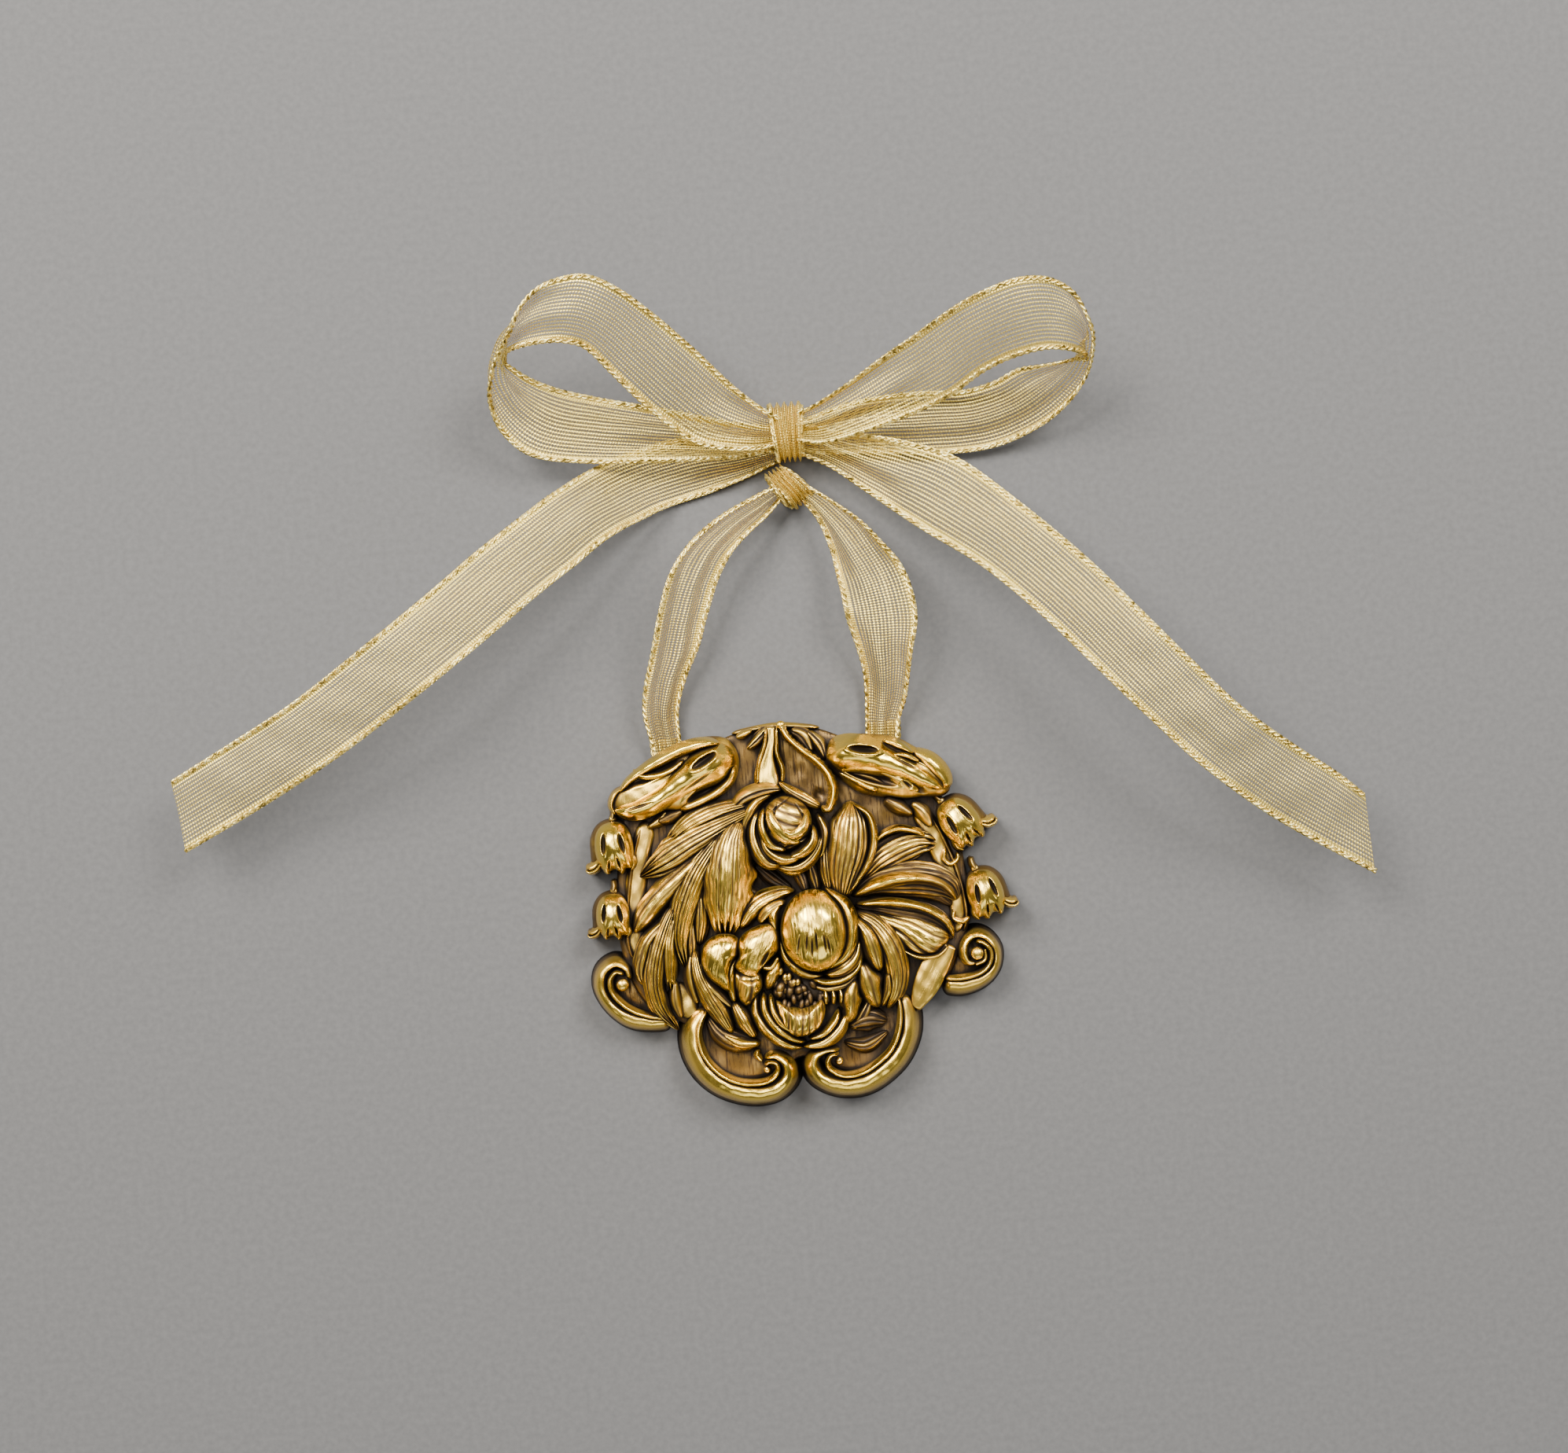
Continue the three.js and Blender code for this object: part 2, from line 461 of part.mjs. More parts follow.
knot("ribbon_bow_knot", [6.85, 88.1, 4], [3.15, 5.4, 3.8]);

// bow loops: out from the knot along the upper strand, round the end and back along the lower one
const LEFT = 3.3;
const RIGHT = 10.4;
strip("ribbon_loop_left", [
  [LEFT, 92.2, 6.5, LEFT, 85.4, 5.6],
  [-1.2, 96.6, 9.4, -7.5, 86.6, 7],
  [-6.8, 102, 13, -15.6, 91.4, 9],
  [-15.2, 110, 18, -23.6, 99.4, 13],
  [-21.1, 114.5, 21, -28.5, 105, 16],
  [-26.2, 117, 22, -32.5, 105.8, 18],
  [-30.6, 117, 22, -35.9, 106, 18],
  [-35.2, 115.8, 21, -40.2, 106, 16],
  [-39.6, 112.2, 19, -43.2, 105.7, 13],
  [-43.2, 107.8, 17, -44.4, 105.2, 9],
  [-46.6, 101.6, 14, -43.4, 104.4, 7],
  [-46.9, 97.5, 9.5, -40.2, 102.2, 5.6],
  [-44.9, 92.4, 6.4, -35.6, 99.8, 5],
  [-39.9, 88, 5.4, -31.6, 98.6, 4.4],
  [-31, 86.4, 5, -25.3, 97.2, 4],
  [-22, 85.6, 4.6, -17.6, 95.4, 3.8],
  [-12, 85, 4, -9, 93.2, 3.6],
  [LEFT, 84.9, 3.4, LEFT, 91, 3.4],
], 40);
strip("ribbon_loop_right", [
  [RIGHT, 92.2, 7.4, RIGHT, 85.2, 6.4],
  [15.2, 95.2, 9.6, 16.4, 86.6, 7.6],
  [21, 99.4, 12.4, 25.2, 90, 8.6],
  [27.2, 103.2, 15.4, 32.4, 92.8, 10.6],
  [34.2, 108.2, 19.2, 39.2, 97.4, 13.4],
  [40.4, 111.4, 22, 44.8, 100, 16],
  [46.5, 113.4, 23.5, 50.8, 101.3, 18],
  [52.2, 114, 23, 55.4, 101.1, 18],
  [56.8, 113, 21, 58.8, 100.4, 16],
  [59.8, 108.6, 19, 60.6, 99.5, 12],
  [61.8, 100.8, 16, 58.9, 98.7, 8.4],
  [62, 96.6, 12.4, 54.9, 98.6, 5.8],
  [58, 89.8, 6.6, 50, 99.3, 3.6],
  [51.6, 85.8, 3.6, 45.7, 96.4, 2.2],
  [42.6, 82.6, 1.6, 39, 95.4, 1.4],
  [33, 82.6, 1.3, 30.6, 96, 1.3],
  [21.6, 83.8, 1.3, 20.4, 94.6, 1.3],
  [RIGHT, 84.6, 1.6, RIGHT, 90.4, 1.6],
], 40);

// tails: a short run held by the knot and the loops, then the free length beyond a bend line
const BEND = 0.2;             // half the clearance at each bend line
const tailLeftStart = [-37.4, 80.2, 8.6, -27.4, 71.7, 8.4];
const tailRightStart = [37.3, 79.8, 10.6, 29.6, 68.2, 9.6];
const shifted = (station, dx, dy) => [station[0] + dx, station[1] + dy, station[2],
  station[3] + dx, station[4] + dy, station[5]];

strip("ribbon_tail_left_root", [
  [LEFT, 87.6, 1.2, LEFT, 82.6, 1.2],
  [-3.7, 88.4, 1, -1.9, 81.4, 0.9],
  [-13.7, 89.4, 0.9, -8.4, 79.5, 0.8],
  [-24.4, 87, 1.6, -15.4, 77.6, 1.6],
  [-30.8, 84.4, 4.4, -21, 75, 4.2],
  shifted(tailLeftStart, BEND * 0.76, BEND * 0.65),
], 16);
strip("ribbon_tail_left", [
  shifted(tailLeftStart, -BEND * 0.76, -BEND * 0.65),
  [-43.7, 75.5, 12, -33.8, 66.9, 11.2],
  [-51.3, 70, 14.4, -40.6, 61.6, 13.4],
  [-61.5, 62.3, 16, -51.6, 53.8, 15],
  [-72, 55, 17, -62.4, 46.4, 16],
  [-85.4, 46.6, 15, -76.2, 37.4, 14],
  [-97.6, 40.2, 12.6, -91.3, 29.4, 11.6],
  [-109.3, 34.4, 11, -107.9, 21.3, 9.6],
], 24);
strip("ribbon_tail_right_root", [
  [RIGHT, 89.6, 4.2, RIGHT, 83, 4],
  [15.1, 88, 5, 14.6, 80.9, 4.4],
  [21.1, 86.4, 6.6, 19.7, 76.8, 5.4],
  [28.4, 84.2, 8.8, 24.6, 72.6, 7.4],
  shifted(tailRightStart, -BEND * 0.83, BEND * 0.55),
], 16);
strip("ribbon_tail_right", [
  shifted(tailRightStart, BEND * 0.83, -BEND * 0.55),
  [47.6, 70.6, 14, 39.3, 60.9, 13],
  [57.6, 60.2, 17, 48.9, 51.2, 15.4],
  [65.6, 50.9, 19, 57, 42, 17.2],
  [73.4, 41.6, 20, 64.8, 32.8, 18],
  [82.4, 31.6, 18.6, 74.6, 22.4, 16.8],
  [92.2, 23.7, 15.4, 85.2, 13.2, 13.6],
  [99.4, 18.7, 13, 94.4, 7, 11.4],
  [104.5, 14.2, 12, 105.6, -0.2, 9.6],
], 28);

export default plaque;
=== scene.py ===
import bpy
import bmesh
import math
import numpy as np
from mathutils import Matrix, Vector


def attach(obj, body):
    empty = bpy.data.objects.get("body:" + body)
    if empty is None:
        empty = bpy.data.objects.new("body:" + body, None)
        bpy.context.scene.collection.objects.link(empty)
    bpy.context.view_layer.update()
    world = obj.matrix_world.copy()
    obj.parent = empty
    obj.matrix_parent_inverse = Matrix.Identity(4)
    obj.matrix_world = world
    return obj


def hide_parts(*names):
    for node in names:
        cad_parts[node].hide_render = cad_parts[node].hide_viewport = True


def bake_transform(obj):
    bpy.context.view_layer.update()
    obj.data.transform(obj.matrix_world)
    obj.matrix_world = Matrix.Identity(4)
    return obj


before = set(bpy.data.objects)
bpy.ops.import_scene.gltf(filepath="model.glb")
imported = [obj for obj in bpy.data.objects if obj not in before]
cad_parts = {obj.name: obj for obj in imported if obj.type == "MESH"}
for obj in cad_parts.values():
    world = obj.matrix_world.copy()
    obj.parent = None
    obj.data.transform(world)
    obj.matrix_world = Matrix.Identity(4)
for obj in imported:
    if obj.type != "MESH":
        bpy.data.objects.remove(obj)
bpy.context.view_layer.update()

# Lengths are in mm up to the meshes. A table of numbers is text: spaces inside a row, commas between rows.
MM = 0.001
SEAT = 3.4              # applied pieces sink a little into the plate
RIBBON = 12.7           # real width of the ribbon
LIP = 0.3               # how far a side wall starts below the top surface
UNDERCUT = 0.3          # how far a side wall slopes in to its foot
GRAIN_APART = 7.7       # keeps the tool marks of two pieces from matching
WARP_PITCH, WEFT_PITCH = 0.00068, 0.00050
BRAID_RADIUS, BRAID_TWIST, BRAID_STEP = 0.24, 1.25, 0.22
rng = np.random.default_rng(11)


# ------------------------------------------------------------------ curves and profiles
def numbers(table):
    """An array from a text table, a list or one number."""
    if isinstance(table, str):
        table = [[float(v) for v in row.split()] for row in table.split(",")]
    return np.array(table, float)


def unit(vectors, tiny=0):
    return vectors / (np.linalg.norm(vectors, axis=1)[:, None] + tiny)


def run_of(path):
    """Length along a path up to each of its points."""
    return np.r_[0, np.cumsum(np.linalg.norm(np.diff(path, axis=0), axis=1))]


def at_run(at, run, values):
    return np.stack([np.interp(at, run, values[:, k]) for k in range(values.shape[1])], 1)


def catmull_rom(a, b, c, d, t):
    return 0.5 * (2 * b + (c - a) * t + (2 * a - 5 * b + 4 * c - d) * t ** 2 + (3 * b - a - 3 * c + d) * t ** 3)


def smooth_line(points, count, closed=False):
    """Evenly spaced points on a Catmull-Rom curve through the given ones."""
    p = numbers(points)
    if closed:
        p = np.vstack([p[-1], p, p[0], p[1]])
    else:
        p = np.vstack([2 * p[0] - p[1], p, 2 * p[-1] - p[-2]])
    t = np.linspace(0, 1, 24, endpoint=False)[:, None]
    fine = np.vstack([catmull_rom(*four, t) for four in zip(p[:-3], p[1:-2], p[2:-1], p[3:])] + [p[-2][None]])
    run = run_of(fine)
    at = np.linspace(0, run[-1], count + 1)[:-1] if closed else np.linspace(0, run[-1], count)
    return at_run(at, run, fine)


def profile(values, t):
    """Smooth value of a short list at fractions t."""
    v = numbers(values).ravel()
    if len(v) == 1:
        return np.full_like(t, v[0], dtype=float)
    v = np.r_[2 * v[0] - v[1], v, 2 * v[-1] - v[-2]]
    s = np.clip(t, 0, 1) * (len(v) - 3)
    k = np.minimum(s.astype(int), len(v) - 4)
    return catmull_rom(v[k], v[k + 1], v[k + 2], v[k + 3], s - k)


def grooves(phase, seed):
    """Sharp-bottomed grooves at whole numbers of phase, each of its own depth, with rounded ridges between."""
    depths = np.random.default_rng(seed).uniform(0.35, 1, 97)
    near = np.round(phase).astype(int)
    return depths[near % 97] * (1 - np.abs(np.sin(np.pi * phase)) ** 0.75)


def dent(x, y, spec):
    """An oval hollow with a slightly raised rim: centre, two radii, turn, depth and, if given, its darkness, which is
    painted shade in the hollow together with patina.
    """
    cx, cy, rx, ry, turn, depth, *tone = spec
    a = math.radians(turn)
    u = ((x - cx) * math.cos(a) + (y - cy) * math.sin(a)) / rx
    v = (-(x - cx) * math.sin(a) + (y - cy) * math.cos(a)) / ry
    far = np.sqrt(u * u + v * v)
    d = np.clip(1 - far ** 2, 0, 1)
    rim = np.exp(-((far - 1.2) / 0.22) ** 2)
    return depth * (d ** 0.8 - 0.16 * rim), (tone[0] if tone else 0.62) * d ** 0.7


# ------------------------------------------------------------------ sculpted surfaces
def closed_grid(grid, patina_and_shade, wrap, grain=None, streak=0.4):
    """Faces of a grid of vertices, with its open ends capped, and its surface marks: patina together with painted
    shade, and the grain and strength of its tool lines.
    """
    n, m = grid.shape[:2]
    index = np.arange(n * m).reshape(n, m)
    cols = m if wrap else m - 1
    after = np.roll(index, -1, 1)
    faces = np.stack([index[:-1, :cols], after[:-1, :cols], after[1:, :cols], index[1:, :cols]], -1)
    faces = faces.reshape(-1, 4).tolist() + [index[0].tolist()[::-1], index[-1].tolist()]
    if not wrap:
        faces.append(index[:, 0].tolist() + index[::-1, -1].tolist())
    if grain is None:
        grain = grid
    return grid.reshape(-1, 3), faces, patina_and_shade.reshape(-1), grain.reshape(-1, 3), np.full(n * m, float(streak))


def blade(spine, half, edge, crest, seed=1, ridges=0, depth=0.3, cup=0.0, lip=0.0, vein=0.0, tilt=0.0, wave=(0, 0),
          dents=(), base=SEAT, dome=2.0, nu=84, nv=0, ends=(0.12, 0.12), under=UNDERCUT, foot=0.0, drift=0.1,
          lobes=(0, 0), hollow=0.5, streak=0.6, shade=0.0, wall=1.0, root=0.0):
    """A leaf, petal or moulding: a carved section carried along a line in the plaque's plane.

    half, edge and crest are its half width, edge height and middle height along the line."""
    nv = nv or int(21 + 9 * ridges)
    t = np.linspace(0, 1, nu)
    line = smooth_line(spine, nu)
    run = unit(np.gradient(line, axis=0))
    far = run_of(line)
    side = np.stack([-run[:, 1], run[:, 0]], 1)
    taper = np.ones(nu)
    for end, left in zip(ends, (t, 1 - t)):
        if end:
            taper *= np.sqrt(np.clip(1 - np.clip(1 - left / end, 0, 1) ** 2, 0.004, 1))
    wide = profile(half, t) * taper
    v = np.sin(np.linspace(-1, 1, nv) * math.pi / 2) * 0.35 + np.linspace(-1, 1, nv) * 0.65
    T, V = np.meshgrid(t, v, indexing="ij")
    edge_z = profile(edge, t) * (0.35 + 0.65 * taper) + base * 0.65 * (1 - taper)
    crest_z = edge_z + (profile(crest, t) - profile(edge, t)) * taper ** 0.6
    reach = wide[:, None] * V
    reach = reach * (1 + wave[0] * np.abs(V) ** 2 * np.sin(wave[1] * math.pi * T + np.where(V > 0, 0.9, 0)))
    xy = line[:, None, :] + side[:, None, :] * reach[..., None]
    if lobes[0]:
        push = lobes[1] * np.cos(lobes[0] * math.pi * V) * T ** 5
        xy = xy + run[:, None, :] * push[..., None]
    shape = 1 - np.abs(V) ** dome
    z = edge_z[:, None] + (crest_z - edge_z)[:, None] * shape
    fade = np.clip(taper[:, None] * 1.1, 0, 1) ** 1.5
    z = z - cup * (1 - V ** 2) ** 1.5 * fade + lip * np.exp(-((np.abs(V) - 0.84) / 0.13) ** 2) * fade
    z = z + tilt * V * fade
    # Painted shade goes into dark: shade darkens the whole piece where it lies in shade, hollow the cupped middle, root
    # the end that runs in under its neighbours (its start, or its end when root is negative).
    dark = shade + hollow * cup * (1 - V ** 2) ** 2 * fade
    dark = dark + (root * (1 - T) ** 1.5 if root > 0 else -root * T ** 1.5)
    # Veins, grooves and dents are darkened too: patina together with painted shade in the recesses.
    if vein:
        g = np.exp(-(V / 0.09) ** 2)
        z -= vein * g * fade
        dark = dark + 0.8 * g * fade
    if ridges:
        phase = ridges * 0.5 * (V + drift * np.sin(2.4 * T + seed)) + seed * 0.37
        g = grooves(phase, seed) * np.clip(1.25 - np.abs(V) ** 6, 0, 1)
        z -= depth * 1.7 * g * fade
        dark = dark + 0.9 * g * fade
    for spec in dents:
        drop, mask = dent(xy[..., 0], xy[..., 1], spec)
        z -= drop
        dark = dark + mask
    z += 0.06 * np.sin(xy[..., 0] * 1.9 + seed) * np.cos(xy[..., 1] * 1.6 - seed)
    top = np.dstack([xy, np.maximum(z, base + 0.1)])
    inner = (np.clip(wide - under, 0.04, None) + foot)[:, None, None]
    lips, feet = [], []
    for column, way in ((0, -1), (-1, 1)):
        edge_row = top[:, column][:, None]
        lips.append(np.dstack([edge_row[..., :2], np.maximum(edge_row[..., 2:] - LIP, base + 0.05)]))
        feet.append(np.dstack([line[:, None, :] + way * side[:, None, :] * inner, np.full((nu, 1, 1), float(base))]))
    grid = np.concatenate([feet[0], lips[0], top, lips[1], feet[1]], 1)
    # The side walls are painted dark down to their feet, by the amount wall: painted shade in the gaps between pieces.
    low = np.full((nu, 1), float(wall))
    patina_and_shade = np.concatenate([low, low * 0.5, np.clip(dark, 0, 1), low * 0.5, low], 1)
    pad = np.concatenate([reach[:, :1], reach[:, :1], reach, reach[:, -1:], reach[:, -1:]], 1)
    grain = np.stack([pad, np.broadcast_to(far[:, None], pad.shape), np.full(pad.shape, seed * GRAIN_APART)], -1)
    return closed_grid(grid, patina_and_shade, False, grain, streak)


def mound(crown, outline, edge, crest, seed=1, ridges=0, depth=0.3, turn=90, dents=(), base=SEAT, power=2.0, nr=30,
          na=96, fan=None, streak=0.6, flat=0.75, shade=0.0):
    """A rounded piece: rings shrinking from a closed outline to its crown. fan is where its ridges meet."""
    rim = smooth_line(outline, na, closed=True)
    c = np.array(crown, float)
    s = np.sin(np.linspace(1, 0.02, nr) * math.pi / 2)
    xy = c + (rim[None] - c) * s[:, None, None]
    R = np.repeat(s[:, None], na, 1)
    z = edge + (crest - edge) * (1 - R ** power) ** (0.5 if power > 2.4 else flat)
    # Painted shade goes into dark: shade darkens the whole piece, and grooves and dents add patina together with
    # painted shade in the recesses.
    dark = np.full(R.shape, float(shade))
    x, y = xy[..., 0], xy[..., 1]
    a = math.radians(turn)
    across = -(x - c[0]) * math.sin(a) + (y - c[1]) * math.cos(a)
    along = x * math.cos(a) + y * math.sin(a)
    if fan is not None:
        across = np.arctan2(y - fan[1], x - fan[0]) * 8
        along = np.hypot(x - fan[0], y - fan[1])
    if ridges:
        phase = across * ridges + 0.25 * np.sin(0.5 * along + seed)
        g = grooves(phase, seed) * np.clip(1.3 - R ** 8, 0, 1)
        z -= depth * 1.6 * g
        dark = dark + 0.9 * g
    for spec in dents:
        drop, mask = dent(x, y, spec)
        z -= drop
        dark = dark + mask
    z += 0.05 * np.sin(x * 1.7 + seed) * np.cos(y * 2.1)
    top = np.dstack([xy, np.maximum(z, base + 0.1)])
    inner = c + (rim - c) * (1 - UNDERCUT / np.hypot(*(rim - c).T)[:, None])
    low = np.dstack([inner[None], np.full((1, na, 1), float(base))])
    mid = np.dstack([rim[None], np.maximum(top[:1, :, 2:] - LIP, base + 0.05)])
    grid = np.concatenate([low, mid, top], 0)
    # The side wall is painted dark, darkest at its foot: painted shade in the gap round the piece.
    patina_and_shade = np.concatenate([np.ones((1, na)), np.full((1, na), 0.5), np.clip(dark, 0, 1)], 0)
    marks = np.stack([across, along, np.full(across.shape, seed * GRAIN_APART)], -1)
    grain = np.concatenate([marks[:1], marks[:1], marks], 0)
    return closed_grid(grid, patina_and_shade, True, grain, streak)


def ellipse(cx, cy, rx, ry, n=16):
    a = np.arange(n) / n * 2 * math.pi
    return np.stack([cx + rx * np.cos(a), cy + ry * np.sin(a)], 1)


def ball(cx, cy, cz, r, squash=1.0, stretch=1.0, turn=0.0, dark=0.3):
    """A bead; stretch draws it out along the plaque in the turn direction."""
    lift = np.linspace(-math.pi / 2 + 0.12, math.pi / 2 - 0.12, 9)
    A, B = np.meshgrid(lift, np.arange(14) / 14 * 2 * math.pi, indexing="ij")
    t = math.radians(turn)
    px, py = r * stretch * np.cos(A) * np.cos(B), r * np.cos(A) * np.sin(B)
    grid = np.dstack([cx + px * math.cos(t) - py * math.sin(t), cy + px * math.sin(t) + py * math.cos(t),
                      cz + squash * r * np.sin(A)])
    # Painted shade: each bead is darker towards its underside and brighter on top; dark sets how dark its middle is.
    return closed_grid(grid, np.clip(dark - np.sin(A), 0, 1), True)


def link(name, mesh, material):
    mesh.materials.append(material)
    obj = bpy.data.objects.new(name, mesh)
    bpy.context.scene.collection.objects.link(obj)
    return obj


def build(name, surfaces, material):
    """One mesh from several surfaces, with the marks that the shader reads."""
    verts, faces, patina_and_shade, grain, streak = zip(*surfaces)
    starts = np.r_[0, np.cumsum([len(v) for v in verts])].tolist()
    faces = [[i + start for i in face] for start, part in zip(starts, faces) for face in part]
    mesh = bpy.data.meshes.new(name)
    mesh.from_pydata((np.vstack(verts) * MM).tolist(), [], faces)
    # The first mark is patina together with painted shade, the second how strongly the tool lines are scored.
    for label, values in (("patina_and_shade", patina_and_shade), ("streak", streak)):
        marks = mesh.attributes.new(label, "FLOAT", "POINT")
        marks.data.foreach_set("value", np.concatenate(values).astype(np.float32))
    marks = mesh.attributes.new("grain", "FLOAT_VECTOR", "POINT")
    marks.data.foreach_set("vector", np.vstack(grain).astype(np.float32).ravel())
    mesh.polygons.foreach_set("use_smooth", [len(f) <= 4 for f in faces])
    obj = link(name, mesh, material)
    work = bmesh.new()
    work.from_mesh(mesh)
    bmesh.ops.recalc_face_normals(work, faces=work.faces)
    work.to_mesh(mesh)
    work.free()
    return obj


# ------------------------------------------------------------------ materials
class Nodes:
    """Short names for building a shader."""

    def __init__(self, name):
        self.material = bpy.data.materials.new(name)
        self.material.use_nodes = True
        self.tree = self.material.node_tree
        self.shader = self.tree.nodes["Principled BSDF"]

    def add(self, kind, **settings):
        node = self.tree.nodes.new(kind)
        for key, value in settings.items():
            if key in node.inputs:
                node.inputs[key].default_value = value
            else:
                setattr(node, key, value)
        return node

    def join(self, a, b):
        self.tree.links.new(a, b)

    def math(self, operation, a, b=None, clamp=False):
        node = self.add("ShaderNodeMath", operation=operation, use_clamp=clamp)
        for socket, value in zip(node.inputs, (a, b)):
            if isinstance(value, (int, float)):
                socket.default_value = value
            elif value is not None:
                self.join(value, socket)
        return node.outputs[0]

    def plus(self, a, b, clamp=False):
        return self.math("ADD", a, b, clamp)

    def times(self, a, b, clamp=False):
        return self.math("MULTIPLY", a, b, clamp)

    def mark(self, name):
        return self.add("ShaderNodeAttribute", attribute_name=name)

    def noise(self, vector, scale, detail, **settings):
        node = self.add("ShaderNodeTexNoise", Scale=scale, Detail=detail, **settings)
        self.join(vector, node.inputs["Vector"])
        return node.outputs["Fac"]

    def about_half(self, value, amount):
        """A 0 to 1 value made to swing about zero by that amount."""
        return self.times(self.math("SUBTRACT", value, 0.5), amount)

    def bump(self, height, strength, distance, normal=None, **settings):
        node = self.add("ShaderNodeBump", Strength=strength, Distance=distance, **settings)
        self.join(height, node.inputs["Height"])
        if normal:
            self.join(normal, node.inputs["Normal"])
        return node.outputs["Normal"]

    def ramp(self, fac, stops):
        node = self.tree.nodes.new("ShaderNodeValToRGB")
        while len(node.color_ramp.elements) < len(stops):
            node.color_ramp.elements.new(0.5)
        for element, (place, colour) in zip(node.color_ramp.elements, stops):
            element.position = place
            element.color = (*colour, 1)
        self.join(fac, node.inputs[0])
        return node.outputs[0]

    def finish(self, **sockets):
        """Link or set the shader's sockets; an underscore stands for a space in their names."""
        for name, value in sockets.items():
            socket = self.shader.inputs[name.replace("_", " ")]
            if isinstance(value, float):
                socket.default_value = value
            else:
                self.join(value, socket)
        return self.material


def antique_brass(name, dark=1.0, bright=1.0, grain=1.0):
    """Worn gilt brass: bright on the high places, brown in the hollows, which is patina together with painted shade,
    with fine tool lines along each form.
    """
    n = Nodes(name)
    place = n.add("ShaderNodeTexCoord").outputs["Object"]
    mottle = n.noise(place, 240.0, 6.0, Roughness=0.6)
    blotch = n.noise(place, 70.0, 3.0, Roughness=0.5)
    fine = n.noise(place, 2600.0, 3.0, Roughness=0.6)
    drawn = n.add("ShaderNodeVectorMath", operation="MULTIPLY")
    n.join(n.mark("grain").outputs["Vector"], drawn.inputs[0])
    drawn.inputs[1].default_value = (2.6, 0.16, 1.0)
    lines = n.noise(drawn.outputs[0], 1.0, 5.0, Roughness=0.62, Distortion=0.15)
    scored = n.times(n.math("SUBTRACT", 0.47, lines, True), 7.0, True)
    scored = n.times(scored, n.mark("streak").outputs["Fac"])
    # Painted shade from ambient occlusion darkens the recesses, together with the patina that gathers there.
    open_sky = n.add("ShaderNodeAmbientOcclusion", samples=8, Distance=0.0019).outputs["AO"]
    closed = n.times(n.math("SUBTRACT", 0.72, open_sky, True), 2.3 * dark)
    height = n.add("ShaderNodeSeparateXYZ")
    n.join(place, height.inputs[0])
    # The surface is painted darker the lower it sits below 7.8 mm.
    closed = n.plus(closed, n.times(n.math("SUBTRACT", 0.0078, height.outputs[2], True), 55.0 * dark))
    # The per-vertex marks add patina together with painted shade.
    marks = n.times(n.mark("patina_and_shade").outputs["Fac"], 0.82 * dark)
    marks = n.plus(marks, n.times(scored, 0.5 * dark))
    cloudy = n.plus(n.about_half(mottle, 0.4), n.about_half(blotch, 0.5))
    total = n.plus(n.plus(closed, marks), cloudy, True)
    colour = n.ramp(total, [
        (0.0, (1.0 * bright, 0.70 * bright, 0.10 * bright)),
        (0.2, (0.84 * bright, 0.545 * bright, 0.085 * bright)),
        (0.42, (0.20, 0.120, 0.030)),
        (0.65, (0.068, 0.040, 0.017)),
        (1.0, (0.016, 0.010, 0.006)),
    ])
    metal = n.math("SUBTRACT", 1.0, n.times(total, 0.35), True)
    rough = n.plus(n.plus(0.17, n.times(total, 0.34)), n.times(mottle, 0.12))
    skin = n.bump(n.plus(n.times(fine, 0.5), mottle), 0.2 * grain, 0.00012)
    cut = n.bump(scored, 0.45, 0.0002, skin, invert=True)
    return n.finish(Base_Color=colour, Metallic=metal, Roughness=rough, Normal=cut)


def gauze(name, cover=1.0, tint=(0.66, 0.465, 0.078)):
    """Woven metallic gauze; its UV map is in metres, across and along the ribbon."""
    n = Nodes(name)
    uv = n.add("ShaderNodeUVMap", uv_map="cloth").outputs["UV"]
    split = n.add("ShaderNodeSeparateXYZ")
    n.join(uv, split.inputs[0])
    across, along = split.outputs[0], split.outputs[1]
    sway = n.about_half(n.noise(uv, 420.0, 2.0), 1.1)
    warp = n.math("SINE", n.plus(n.times(across, 2 * math.pi / WARP_PITCH), sway))
    weft = n.math("SINE", n.plus(n.times(along, 2 * math.pi / WEFT_PITCH), sway))
    warp_on = n.times(n.plus(warp, 0.05, True), 1.8, True)
    weft_on = n.times(n.plus(weft, 0.0, True), 1.6, True)
    drawn = n.add("ShaderNodeCombineXYZ")
    n.join(n.times(across, 1500.0), drawn.inputs[0])
    n.join(n.times(along, 60.0), drawn.inputs[1])
    streak = n.noise(drawn.outputs[0], 1.0, 2.0)
    density = n.plus(n.times(warp_on, 0.8), n.times(weft_on, 0.5))
    density = n.plus(n.plus(density, n.about_half(streak, 0.5)), 0.06)
    rim = n.math("GREATER_THAN", n.math("ABSOLUTE", across), 0.00500)
    alpha = n.math("MAXIMUM", n.times(density, 0.82 * cover, True), rim, True)
    sparkle = n.about_half(n.noise(uv, 3200.0, 1.0), 1.4)
    lit = n.plus(n.times(warp_on, 0.45), n.times(streak, 0.6))
    colour = n.ramp(n.plus(lit, sparkle), [
        (0.1, (tint[0] * 0.5, tint[1] * 0.45, tint[2] * 0.36)),
        (0.5, tint),
        (0.95, (0.95, 0.77, 0.22)),
    ])
    edge_mix = n.add("ShaderNodeMix", data_type="RGBA")
    n.join(rim, edge_mix.inputs[0])
    n.join(colour, edge_mix.inputs[6])
    edge_mix.inputs[7].default_value = (0.74, 0.56, 0.14, 1)
    threads = n.bump(n.plus(warp, weft), 0.6, 0.00008)
    return n.finish(Base_Color=edge_mix.outputs[2], Alpha=alpha, Metallic=0.75, Roughness=0.40, Normal=threads)


